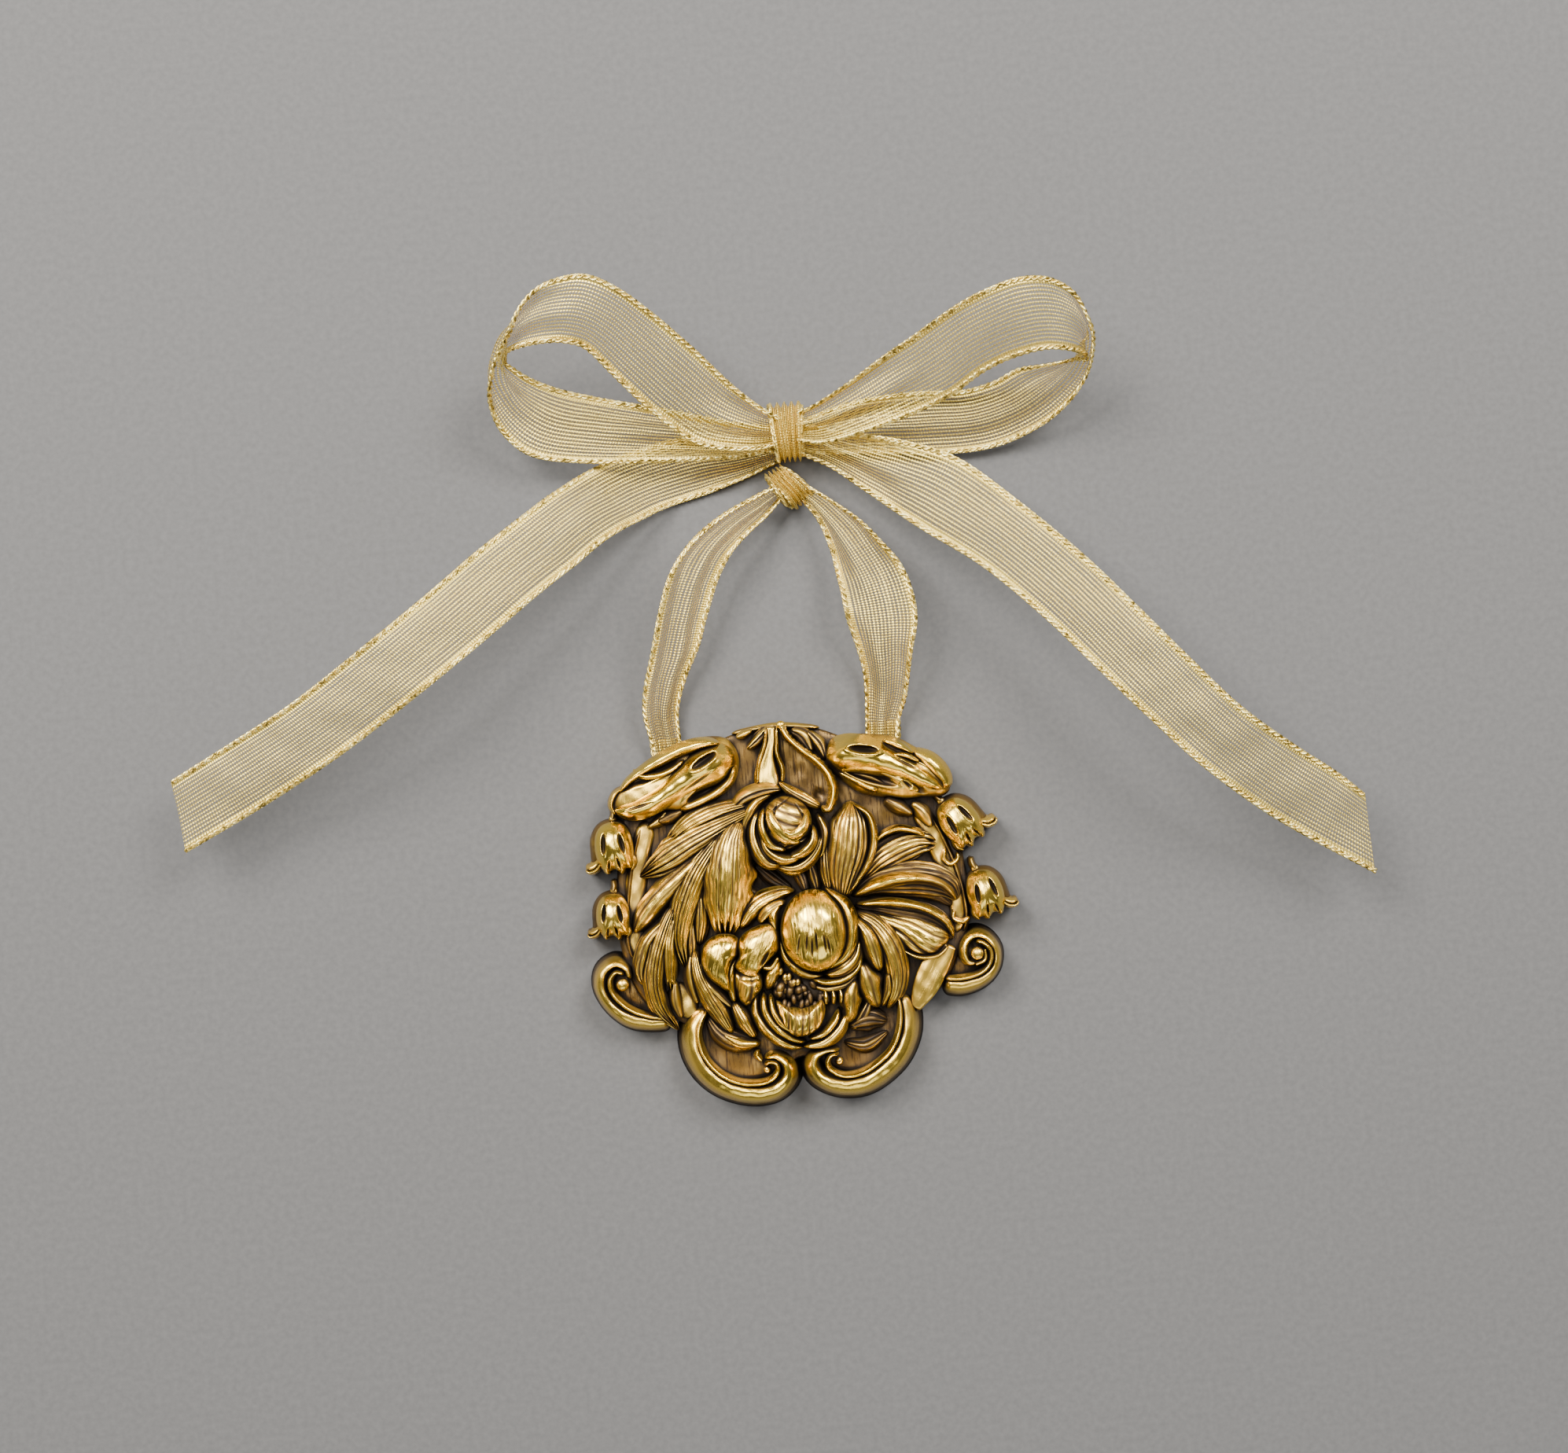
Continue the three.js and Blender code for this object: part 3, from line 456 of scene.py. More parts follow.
def braid(name):
    """Twisted gold thread."""
    n = Nodes(name)
    glint = n.noise(n.add("ShaderNodeTexCoord").outputs["Object"], 1100.0, 3.0)
    colour = n.ramp(glint, [(0.36, (0.20, 0.145, 0.03)), (0.5, (0.80, 0.60, 0.15)), (0.64, (1.0, 0.90, 0.40))])
    return n.finish(Base_Color=colour, Metallic=0.85, Roughness=0.35, Normal=n.bump(glint, 0.5, 0.0001))


relief_brass = antique_brass("relief_brass")
# The base plate gets a dimmer copy of the brass with stronger darkening: painted shade for the low floor behind the
# applied pieces, together with patina.
plate_brass = antique_brass("plate_brass", dark=1.35, bright=0.8, grain=1.6)
ribbon_gauze = gauze("ribbon_gauze")
knot_gauze = gauze("knot_gauze", cover=1.5, tint=(0.84, 0.58, 0.08))
gold_braid = braid("gold_braid")


def relief(node, *surfaces, material=relief_brass, slot="relief_brass"):
    """The carved piece that stands in for one CAD node of the plaque."""
    obj = build(node + "_carved", surfaces, material)
    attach(obj, "plaque")
    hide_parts(node)


# ------------------------------------------------------------------ base plate and its low relief
def flat_plate():
    rim = smooth_line(
        "-26 24.6, -17 30.6, -7.5 34.4, 0 35.4, 7 34.3, 16 30, 25 24.4, 30.6 16, 32.4 7, 32.6 -2, 30 -9, 26.4 -15, "
        "21 -18, 19.4 -24, 13 -29, 6 -28.6, 0 -25.6, -6 -28.6, -13 -29, -19.4 -23.6, -21 -18, -26.8 -15, -30.6 -8, "
        "-32 2, -31 12, -29.4 20", 200, closed=True)
    c = np.array([0.0, 4.0])
    rings = []
    # the underside steps up behind the top edge, where the ribbon runs
    for size, lift in ((0.985, 0.0), (1.0, 0.25)):
        xy = c + (rim - c) * size
        rings.append(np.column_stack([xy, np.where(xy[:, 1] > 15.0, 2.4, 0.0) + lift]))
    for size, level in [(1.0, 3.2), (0.985, 3.6)] + [(k, 3.62) for k in np.linspace(0.96, 0.02, 60)]:
        xy = c + (rim - c) * size
        x, y = xy.T
        z = np.full(len(xy), level)
        if level > 3.55:
            z = z + 0.16 * np.sin(x * 0.9) * np.cos(y * 0.8) + 0.06 * np.sin(x * 2.3 + y)
            for spec in ((6.9, 22.0, 1.1, 1.0, 20, 0.8), (3.4, 26.5, 1.6, 0.7, 70, 0.4)):
                z = z - dent(x, y, spec)[0]
        rings.append(np.column_stack([xy, z]))
    grid = np.stack(rings)
    # The whole plate floor is darkened evenly: painted shade for the low floor behind the pieces, together with patina.
    return closed_grid(grid, np.full(grid.shape[:2], 0.22), True)


relief("base_plate",
    flat_plate(),
    # leaves on the floor of the two bottom scrolls
    blade("-16.8 -16.6, -14.8 -19.8, -12 -21.6, -8 -22.6", ".8 2 2.2 .8", "4.2 4.6 4.4", "5.4 6.4 5.6", 3, 4, nu=60,
          shade=0.25),
    blade("8.6 -20.6, 12.4 -19.4, 15.8 -20.2", ".9 2.4 1", "4.4 4.8 4.2", "6 6.8 5.6", 4, 4, nu=60, shade=0.3),
    blade("7.6 -23.4, 11.6 -24.3, 15.8 -22.2", ".6 1.6 .5", 4, "5 6 5.2", 14, 3, nu=50, shade=0.25),
    # small leaves under the top edge
    blade("-1.6 34.9, -3.2 33.2, -5.6 31.3", ".8 1.2 .4", 5.2, 7, 5, 2, vein=0.4, nu=40),
    blade("-4.4 34.7, -5.6 34.2, -7.4 33.6", ".5 .8 .4", 5, 6.4, 15, nu=36),
    blade("2.6 34.2, 4.9 32.8, 6.2 29.8", ".8 1.6 .5", 4.8, 6.6, 6, 2, nu=40, cup=0.4),
    blade("5.6 33.8, 7.6 31.2, 8.6 28.2", ".6 1.3 .6", 4.6, 6.2, 16, 2, nu=40),
    blade("-8.2 34.4, 0 35.1, 8 34.2", ".5 .7 .5", 4, 4.9, 7, nu=60, nv=13, base=2.6),
    # leaves in the shade below the right curl
    blade("18.6 20.2, 20.8 18.7, 23.6 17", ".9 1.5 .6", 4.8, 6.6, 8, nu=44, shade=0.3),
    blade("23.4 19.2, 25.4 17.2, 26.8 14.4", ".9 1.5 .7", 4.6, 6.4, 9, nu=44, shade=0.15),
    # leaves in the shade below the left curl
    blade("-18 21.2, -20.4 20.2, -23 19.4", ".8 1.3 .6", 4.6, 6, 10, nu=44, shade=0.25),
    blade("-21.2 21.4, -22.4 19.8, -24.8 18.6", ".6 1.1 .4", 4.4, 5.6, 11, nu=44, shade=0.1),
    # petals in the shade between the bud and the flower
    blade("1.2 9.6, 2.4 7, 3 4.6", ".9 1.3 .7", 5.6, 7.2, 12, 3, nu=50, shade=0.35),
    blade("4 9.8, 4.6 7.2, 5 4.6", ".9 1.3 .7", 5.8, 7.6, 13, 3, nu=50, shade=0.25),
    blade("-6 10.4, -3 7.4, .4 5.2", ".7 1.5 .6", 4.4, 5.8, 17, 3, nu=50, shade=0.5),
    blade("-8.4 6.4, -6 3.8, -4.6 1", ".8 1.7 .9", 4.6, 6.2, 18, 3, nu=50, shade=0.3),
    material=plate_brass, slot="plate_brass")

# ------------------------------------------------------------------ cartouche frame
plain = dict(streak=0.12)
relief("top_curl_left",
    mound([-17, 27], "-31.2 23.4, -30.4 25.2, -27.9 26.8, -27.4 28.2, -25.6 29.8, -22 31.7, -16.6 33.7, -12.4 34.3, "
          "-9 33.5, -7.3 30.5, -7.6 27.2, -9.9 25.2, -13 23.4, -18.2 21.2, -22.2 21.4, -26 20.6, -29.2 20.7, "
          "-31 21.9", 4.4, 8, 2, base=0.6, power=2.6, nr=60, na=200, shade=0.22,
          dents=[(-22.4, 28.8, 4.4, 1.2, 25, 0.9, 0.25), (-13.8, 24.6, 4, 0.9, 30, 1.4, 0.5)], **plain),
    # main flute, swelling into a rounded end with a slot in it
    blade("-30.8 22.3, -26.8 22, -22.2 23.8, -17.4 26.6, -12.8 29, -7.6 30.6", "1.2 2.1 2.4 3.1 4.3 4",
          "5.4 6 6.4 6.4 5.8 4.6", "7.8 9.2 9.8 10.8 11.8 9.8", 3, nu=170, nv=71, ends=(0.12, 0.16),
          dents=[(-13.4, 29.9, 2.7, 0.85, 30, 2.2), (-26, 22.6, 2.6, 0.3, 14, 0.5),
          (-15.2, 26.2, 3.6, 0.3, 30, 0.4)], **plain),
    # upper rim of the wing
    blade("-29.6 25.2, -27.2 27.6, -22.8 30, -17.8 32.1, -13.4 33, -10.2 32.8", ".5 .9 1.3 1.4 1.4 .8",
          "5.6 6.4 7 7.4", "7.4 8.6 9.6 10.2 10.4", 6, nu=110, nv=31, **plain),
    # lower rim of the wing's hollow
    blade("-26.6 29.4, -24.8 28, -21.7 28, -19.1 28.9, -16.8 30.6", ".5 .75 .8 .7 .4", "6.6 7 7.4", "8 8.8 9.2", 8,
          nv=21, **plain),
    # lower lip and the outer end of the roll
    blade("-18.8 21.4, -15.6 22.3, -12 23.8, -9.2 26, -7.9 28.8", ".9 1.1 1 1 .8", "5.2 5.8 6.2 6.6", "7 7.8 8.4 9",
          10, shade=0.1, **plain),
    blade("-27.9 26.5, -30.2 25.2, -31.1 23.1, -30.2 21.2", ".5 .8 .8 .5", "3.4 3.6 3.4", "6 6.6 6.2", 12, base=0.6,
          shade=0.1, **plain))
relief("top_curl_right",
    mound([18.6, 26.4], "8.9 29, 9.8 31, 12.8 32.4, 17.3 32.3, 21.6 31.3, 25 29.3, 28.2 27, 30.6 23.8, 30.8 21.2, "
          "29.3 19.9, 26 20, 22.6 19.8, 18.4 20.6, 14.5 21.6, 11 24.4, 8.9 27", 4.6, 8.4, 3, base=0.6, power=2.6,
          nr=60, na=200, shade=0.3, dents=[(24.6, 27.6, 3.4, 0.45, -36, 1.1), (16.4, 24.6, 5.2, 1.1, -22, 1.8, 0.5),
          (24.2, 22.2, 2.6, 0.8, -36, 1, 0.4)], **plain),
    # main flute with the slot in its rounded end
    blade("8.6 28.4, 13.4 28.9, 17.8 27.7, 22.2 25.7, 26.2 23.2, 29.6 20.9", "3.4 3.8 3.3 2.7 2.2 1.1",
          "4.6 6.2 6.8 6.4 5.8 5.2", "10.4 11.8 11 10.2 9.2 7.6", 4, nu=170, nv=71, ends=(0.14, 0.12),
          dents=[(15.4, 29.6, 2.8, 0.8, -10, 2.2), (22.8, 26.4, 2.6, 0.3, -30, 0.5)], **plain),
    blade("19 31, 21.7 29.9, 24.6 28", ".5 .95 .4", "7 7.2 6.8", "8.6 9.2 8.2", 7, nu=50, **plain),
    blade("20.3 28.2, 22.8 27.9, 25.6 26.4", ".4 .7 .3", "7.4 7.6 7.2", "9.2 9.4 8.6", 8, nu=50, **plain),
    blade("24.1 28.6, 27.4 26.2, 29.7 23.2, 30 20.9", "1 1.9 1.9 .9", "5 5.4 5", "7.6 8.4 7.2", 9, base=0.6,
          shade=0.12, **plain),
    blade("10.4 26, 13 24.4, 15.6 22.8, 18 21.7", ".5 .8 .9 1.3", "5.8 6 5.8", "7.4 8.2 8.4", 10, ends=(0.12, 0.2),
          **plain),
    blade("19 25.2, 22 23.2, 25.2 20.9", ".9 1.8 .9", "5.6 6 5.4", "7.8 8.4 7", 11,
          dents=[(22.8, 22.6, 1.2, 0.5, -40, 0.7)], shade=0.12, **plain),
    blade("12.6 25.6, 16.2 24.4, 19.4 22.6", ".5 1 .5", "5.6 6 5.6", "6.8 7.4 6.8", 12, shade=0.4, **plain))
rail = dict(base=0.8, foot=0.5, under=0, nv=25, streak=0.12)
relief("side_rail_left",
    blade("-24.6 20.4, -26.6 14, -28.2 6, -28.8 -1.6, -27.6 -6.8", "1.6 2 2 1.8 1.2", 3.7, 4.5, 2, dome=4,
          shade=0.05, **rail),
    blade("-25.8 19.4, -28 13, -29.6 5, -30.2 -2, -28.9 -6.6", ".5 .6 .6 .6 .4", 3.6, 5, 3, shade=0.3, **rail))
relief("side_rail_right",
    blade("24.2 19, 27 12.8, 29.4 5, 30.4 -1.4, 29.5 -5.8", "1.6 2.1 1.9 1.7 1.2", 3.7, 4.7, 3, dome=4, shade=0.06,
          **rail),
    blade("25.6 18.6, 28.6 12.6, 31 5, 31.9 -1.4, 31 -5.6", ".5 .6 .6 .6 .4", 3.6, 5, 4, shade=0.3, **rail))


def bellflower(cx, cy, lean, size, flip, seed):
    """A hanging flower head: a dome with two almond slots, a drafted side wall and curled petal tips."""
    a = math.radians(lean)

    def at(u, v):
        u *= flip
        return [cx + size * (u * math.cos(a) - v * math.sin(a)), cy + size * (u * math.sin(a) + v * math.cos(a))]

    def ring(points):
        return [at(*p) for p in points]

    slots = [(*at(-1.75, 0.9), 0.52 * size, 1.95 * size, lean - 8 * flip, 1.2, 0.36),
             (*at(1.55, 0.6), 0.52 * size, 1.95 * size, lean + 8 * flip, 1.2, 0.36),
             (*at(0.55, -3.1), 0.3 * size, 1.3 * size, lean + 10 * flip, 0.9),
             (*at(-1.35, -3.3), 0.28 * size, 1.2 * size, lean - 12 * flip, 0.8)]
    small = dict(base=0.6, nu=44, nv=23, streak=0.1)

    def widths(*values):
        return [size * k for k in values]

    return [
        mound(at(-0.4, 0.2), ring([(0.3, 5.3), (-2.6, 4.7), (-4.4, 2.4), (-4.8, -0.6), (-4.5, -3.0), (-1.4, -3.9),
                                   (1.2, -4.0), (3.1, -3.2), (3.6, 0.0), (2.6, 3.8)]),
              3.0, 6.4, base=0.0, power=3.4, seed=seed, shade=0.40, nr=22, na=80, streak=0.1),
        mound(at(0, 0.4), ring([(0.2, 4.7), (-2.1, 4.1), (-3.4, 2.1), (-3.7, -0.8), (-3.1, -3.3), (-1.9, -4.4),
                                (-0.5, -4.1), (0.5, -4.7), (1.6, -4.2), (2.8, -4.1), (3.3, -2.0), (3.4, 1.0),
                                (2.3, 3.9)]),
              5.8, 9.6, base=0.0, power=2.0, flat=0.62, seed=seed, dents=slots, nr=60, na=150, streak=0.1),
        blade([at(-2.6, -1.4), at(-3.7, -2.8), at(-5.0, -3.3), at(-6.0, -2.8)], widths(1.0, 1.15, 1.15, 0.8),
              [3.4, 3.4, 3.2, 3.0], [6.6, 6.2, 6.0, 5.6], seed=seed, shade=0.12, ends=(0.12, 0.25), **small),
        blade([at(-2.6, -2.3), at(-3.8, -3.7), at(-5.2, -4.1), at(-6.1, -3.5)], widths(0.5, 0.6, 0.6, 0.35),
              [4, 4, 3.8, 3.6], [6.8, 6.6, 6.2, 5.8], seed=seed, **small),
        blade([at(-1.6, -2.2), at(-2.0, -3.9), at(-1.7, -5.0)], widths(0.9, 1.0, 0.4), [4.2, 4, 3.8], [8.0, 7.4, 6.2],
              seed=seed + 1, **small),
        blade([at(0.7, -2.2), at(0.9, -4.0), at(0.6, -5.2)], widths(1.0, 1.0, 0.4), [4.2, 4, 3.8], [8.0, 7.4, 6.2],
              seed=seed + 1, **small),
        blade([at(2.6, -1.6), at(3.1, -3.4), at(2.4, -4.8)], widths(0.7, 0.8, 0.3), [4, 3.8, 3.6], [6.8, 6.4, 5.8],
              seed=seed + 2, **small),
        ball(*at(0.3, 5.1), 4.6, 0.75 * size, 0.8),
        blade([at(0.4, 7.6), at(0.5, 6.2), at(0.2, 5.0)], [0.6, 0.7, 0.8], [3.0, 3.2, 3.4], [4.6, 5.2, 5.4],
              seed=seed, shade=0.3, **small),
    ]


relief("bellflower_left_upper", *bellflower(-31.1, 15.6, 3, 0.98, 1, 3))
relief("bellflower_left_lower", *bellflower(-32.3, 3.1, 0, 0.86, 1, 7))
relief("bellflower_right_upper",
    *bellflower(31.9, 14.9, 33, 0.98, -1, 5),
    blade("29 10.4, 28.5 8.6, 29.6 7.4, 31 8.2, 31 9.6", ".5 .7 .7 .6 .3", 4.2, 5.8, 6, nu=50, nv=19, **plain))
relief("bellflower_right_lower",
    *bellflower(35.4, 1.6, 13, 0.92, -1, 9),
    blade("29.6 -1, 29.4 -2.6, 31 -3.2, 32.4 -2.4", ".5 .7 .7 .4", 4.2, 5.8, 8, nu=50, nv=19, **plain))


def scroll(spine, half, tilt, bead, crest, floor, eye, inside, seed, wall=0.7):
    """A C-scroll: drafted outer wall, sloping band, inner bead, and a volute over a sunk floor."""
    # wall here sets how dark the side walls are painted, painted shade in the gaps; the scroll's own wall argument is
    # the width of its drafted foot.
    common = dict(ends=(0.05, 0.04), under=0, streak=0.15, wall=0.25)
    heights = numbers(crest).ravel()
    return [
        mound(numbers(floor).mean(0), floor, 1.8, 2.8, base=0.6, seed=seed, shade=0.22, nr=16, na=72),
        blade(spine, half, "2.6 3 3.2 3.2 3.4", crest, seed, base=0.0, foot=wall, dome=2.6, tilt=tilt, nu=170, nv=33,
              **common),
        blade(bead, [0.55, 0.6, 0.6, 0.6, 0.6, 0.55, 0.45], heights - 1.2, heights + 0.75,
              base=2.4, seed=seed + 1, nu=170, nv=19, **common),
        ball(*eye),
        *[blade(*item, base=2.2, seed=seed + 2, **common) for item in inside],
    ]


relief("side_scroll_left",
    *scroll("-23.7 -17.3, -27.2 -17, -31.2 -15.8, -34.2 -13.3, -35.7 -10.2, -35.3 -7.2, -33 -5.6, -30.9 -6.6, "
          "-30.2 -8.8", "1.3 1.6 1.8 1.6 1.4 1.4 1.3 1 .6", -0.5, "-24.5 -16.4, -28 -15.5, -31.2 -13.8, -33.5 -11.2, "
          "-34 -8.8, -32.8 -7.2, -31.2 -7.6", "5.2 5.8 6.2 6.4 6.4", "-35 -7, -30 -6.6, -27.6 -10, -25.6 -16.4, "
          "-30 -16.2, -34.4 -12.5", (-31.8, -9.5, 5.6, 1.25, 0.9), [], 3))
relief("side_scroll_right",
    *scroll("26.6 -14.6, 30.4 -14.9, 34 -14, 36.2 -12, 36.7 -9.1, 35.3 -6.7, 33.2 -5.8, 31.3 -6.9, 30.6 -9, "
          "31.4 -10.8, 33.2 -11", "1.5 1.8 1.7 1.4 1.1 1 1 1 1 .9 .5", 0.5,
          "27 -13.4, 30.4 -13.5, 33.4 -12.8, 35.2 -11.2, 35.6 -9, 34.4 -7.4, 33 -6.9", "5.4 5.8 6 6.2 6.4",
          "28 -9, 31.1 -5.8, 35.8 -6.4, 36.9 -10.4, 34.1 -14.4, 27.4 -14.8", (33.2, -9.2, 5.8, 1.3, 0.9),
          [("34.6 -8.4, 34.4 -10.4, 32.6 -11.2", ".4 .6 .4", 5.2, 6.8)], 4))
relief("bottom_scroll_left",
    *scroll("-16.9 -14.6, -19.6 -18.3, -19.8 -22.5, -18.2 -26.4, -14.9 -29.5, -10.4 -31.2, -6 -31.2, -3.2 -29.2, "
          "-2.9 -26.6, -4.9 -24.7, -7.4 -24.9", "1.2 1.8 2.1 2.2 2.3 2.3 2.3 2.1 1.8 1.3 .6", 0.9,
          "-16.6 -15.2, -18.1 -17.5, -18.7 -20.1, -18 -23.5, -15.7 -26.7, -12.6 -28.7, -9.2 -29.4, -6.4 -29, "
          "-4.9 -27.6, -5 -26.1, -6.3 -25.7, -7.2 -26.4", "5.6 6.6 7.2 7.2 7",
          "-18 -17, -19.5 -23, -15 -29.6, -6 -30.6, -2.8 -27, -6.6 -24.6, -9 -21.4", (-6.7, -27.2, 5.2, 0.7, 0.9),
          [("-7.6 -25.4, -8.4 -24.4, -8.2 -23.4", ".5 .7 .4", 4.6, 6.8)], 5, 0.9))
relief("bottom_scroll_right",
    *scroll("19 -15, 19.8 -18.9, 19.4 -22.9, 17.5 -26.5, 14.4 -29.2, 10.7 -31, 6.6 -31.2, 3.1 -29.8, 1.5 -27.4, "
          "2.1 -25.3, 4.4 -24.4, 6.9 -24.6", "1.2 1.8 2 2.1 2.3 2.4 2.4 2.2 1.9 1.6 1.1 .6", -0.9,
          "18 -15.4, 18.3 -18.8, 17.6 -22.3, 16 -25.3, 13.5 -27.4, 10.4 -29, 7.2 -29.3, 4.9 -28.1, 4.3 -26.6, "
          "5.1 -25.4, 6.6 -25.3", "5.6 6.6 7.2 7.2 7", "17.6 -17, 19 -23, 14.4 -29.6, 6 -30.6, 2.6 -27, 6.6 -24.4, "
          "9 -21.4", (6.4, -26.7, 5, 0.8, 0.9), [], 6, 0.9))
relief("strap_right",
    blade("27.6 -6.6, 25.6 -10.4, 23.2 -14.6, 20.8 -18.8", "2.2 2.5 2.3 .9", "5 5 4.8 4.2", "5.4 5.4 5.2 4.6", 4,
          dome=6, ends=(0.05, 0.06), base=0.8, streak=0.2),
    blade("-22.9 -10.6, -20.9 -13.6, -19.2 -16.8", "1.6 2.6 1", 3.8, 4.4, 5, dome=4, ends=(0.1, 0.1), base=0.8,
          shade=0.1, streak=0.2))

# ------------------------------------------------------------------ bud and stems
relief("bud_globe",
    mound([0.6, 17.8], ellipse(0.5, 17.4, 4.6, 5), 7.6, 13, 4, 0.55, 0.14, power=2.6, nr=50, na=170, streak=0.5,
          turn=-20, shade=0.07, dents=[(-2.3, 17.6, 0.3, 4.4, -20, 0.55), (-3.4, 16.6, 0.25, 3.6, -14, 0.45),
          (1.9, 13.9, 4.2, 0.3, 22, 0.55), (3.6, 18.6, 0.26, 3, 28, 0.45), (1.2, 15.2, 3.4, 0.22, 26, 0.35),
          (-0.4, 20.9, 2.8, 0.24, 32, 0.35)]),
    blade("-3.4 20.6, -3.9 17.2, -2.6 13.8, .4 12.6", ".5 1 1.1 .5", "8.4 9.2 9.4 9", "11 12.2 12.2 11.2", 5,
          streak=0.35),
    blade("-2.6 20.8, -1.9 17.6, .2 14.9, 3.2 13.6", ".5 1 1 .4", "11 12.6 12.3 10.2", "11.8 13.5 13.2 11.2", 6,
          streak=0.3, tilt=0.25),
    blade("4.4 19.6, 3.4 16.6, 1.2 15.4, -.6 16.6", ".4 .8 .8 .3", "10.6 12.3 12.8 12.6", "11.4 13.2 13.6 13.3", 7,
          streak=0.3, tilt=-0.2))
relief("bud_collar_petals",
    blade("-4.4 20.4, -5.6 16.9, -5.2 13.4, -3.4 10.6, -.8 9.9", ".6 1.3 1.7 1.5 .6", "6.8 7.2 7.6 7.4",
          "9.2 10.4 10.8 9.8", 4, 4, 0.22),
    blade("-4.3 16.6, -3.4 13, -.6 11, 2.7 11.2", ".5 1.2 1.3 .7", "7.6 8.2 8.2", "10.4 11.4 10.8", 6, 3, 0.22),
    blade("5.2 16.8, 4.8 13.9, 2.8 12, .2 11.2", ".5 1.3 1.4 .6", "7.8 8.4 8.2", "10.8 11.8 11", 7, 3, 0.22),
    blade("-2.4 10, .8 9.2, 3.4 10, 5.6 12.2, 6.8 15.1", ".6 1.2 1.4 1.2 .6", "6.6 7 7.2 7", "8.8 9.6 9.8 9", 8, 3,
          0.22),
    blade("6.2 18.8, 7.2 15.4, 6.6 12, 5.6 10.4", ".6 1.1 1 .5", "6.8 7.2 6.8", "8.8 9.4 8.4", 9, 2, 0.22, nu=60),
    blade("-1.6 9.2, 1.2 8.4, 3.8 9", ".4 .9 .4", "6 6.4 6", "7.6 8.2 7.6", 10, nu=50))
relief("bud_sepal_left",
    blade(".6 23.6, -3.2 23.6, -7 22.4, -9.6 20.2", ".6 1.6 1.7 .6", "6.4 6.8 6.6 6.2", "8.4 9 8.8 7.4", 3, 2, 0.16,
          vein=0.35, shade=0.2, streak=0.2),
    blade("-1.6 22.9, -4.6 21.6, -6.8 18.6, -7.6 15.6", ".4 1.1 1.2 .5", "7 7.4 7", "8.8 9.6 8.4", 5, 2, 0.2, nu=70))
relief("bud_sepal_right",
    blade("-.4 25, 1.6 23.2, 4.4 21.3, 7.2 19.6", ".35 1 1.1 .4", "6.8 7.6 7.6 7", "8.6 9.6 9.4 8.6", 6, vein=0.3,
          nu=60, nv=25, cup=0.3, lip=0.25))
vine = [[1.0, 35.4], [1.3, 34.0], [2.4, 32.3], [4.5, 30.2], [6.7, 28.3], [8.5, 26.1], [9.4, 23.5], [9.2, 21.3],
        [8.2, 19.3], [6.9, 19.9]]
relief("stem_vine",
    blade(vine, ".75 .75 .75 .8 .85 .9 .9 .6", "6.4 6.8 7.2 7.6 8", "8.2 8.8 9.4 10 10.4", 3, base=5, nu=140, nv=17,
          wave=(0.08, 44), ends=(0.03, 0.06), under=0.2, streak=0.1))
relief("stem_flat",
    blade("-.9 35.2, -1.1 32.4, -1.9 29.6, -2.4 26.6, -2.4 23.8", ".9 .9 1.3 2.2 2.4", "5.6 5.8 6 6.2",
          "6.6 6.8 7 7.2", 2, dome=4, cup=0.3, ends=(0.04, 0.04), streak=0.15, hollow=0.1),
    blade("-1.9 35.2, -2.2 32.4, -3.6 28.6, -4.3 24.4", ".35 .4 .45 .4", 6, 7.6, 5, nv=15, streak=0.1),
    blade(".2 35.2, 0 32.6, -.2 30.2, .6 27, .2 24.4", ".35 .4 .4 .45 .35", 6, 7.6, 6, nv=15, streak=0.1),
    ball(0.9, 35.2, 6.6, 0.85))

# ------------------------------------------------------------------ leaf spray
relief("leaf_upper",
    blade("-5.6 21.4, -10.9 20.6, -14.9 19.4, -18.2 17.8, -21.2 15.6", ".8 1.8 2.3 2 .8", "5.4 5.8 6 5.6 5",
          "7.8 8.6 8.8 8 6.8", 2, 6, 0.3, lobes=(4, 0.8), root=0.3),
    blade("-4.8 20.4, -8.8 18.9, -14 16.7, -18.2 14.6, -22.1 12.3, -26.3 10.1", "1 1.9 2.8 3.2 3 1.1",
          "6.2 6.4 6.4 6 5.4 4.6", "8.8 9.6 9.8 9.2 8 6.2", 4, 8, 0.26, nu=110, lobes=(5, 1), ends=(0.1, 0.16),
          root=0.3, wave=(0.05, 9)),
    blade("-9.4 16.6, -14.4 13.6, -18.6 11.6, -23 9.2", ".8 1.7 1.8 .7", "5.4 5.6 5.2 4.6", "7 7.4 6.8 5.8", 5, 4,
          0.3, shade=0.3))
relief("leaf_narrow",
    blade("-12.6 14.6, -16 12, -19.4 9.2, -22.9 6.4, -26 3.4, -28.9 -.4", "1 1.8 2.2 2.3 2.2 1.4",
          "5.4 5.6 5.6 5.4 5 4.6", "8 8.6 8.6 8.2 7.6 6.6", 7, 3, 0.2, nu=100, tilt=-0.3, ends=(0.1, 0.14),
          root=0.3),
    blade("-16.4 13.2, -20.4 10.2, -24.2 7.2, -27 4", ".5 1.1 1.1 .5", "4.8 5 4.8", "6.4 6.8 6", 8, 3, nu=60,
          shade=0.15))
relief("leaf_oval",
    blade("-7.6 19, -9.6 15.4, -10.8 10.6, -11.5 6, -12 1.6, -12.3 -2.2", "1.3 3.6 4.9 5 4 1.6",
          "6.6 7 7 6.8 6.2 5.6", "9.6 11.4 12 11.6 10 7.2", 3, 12, 0.13, wave=(0.08, 9), nu=130, tilt=0.4,
          ends=(0.1, 0.14), lobes=(5, 1.1), streak=1, dome=2.4, root=0.25))
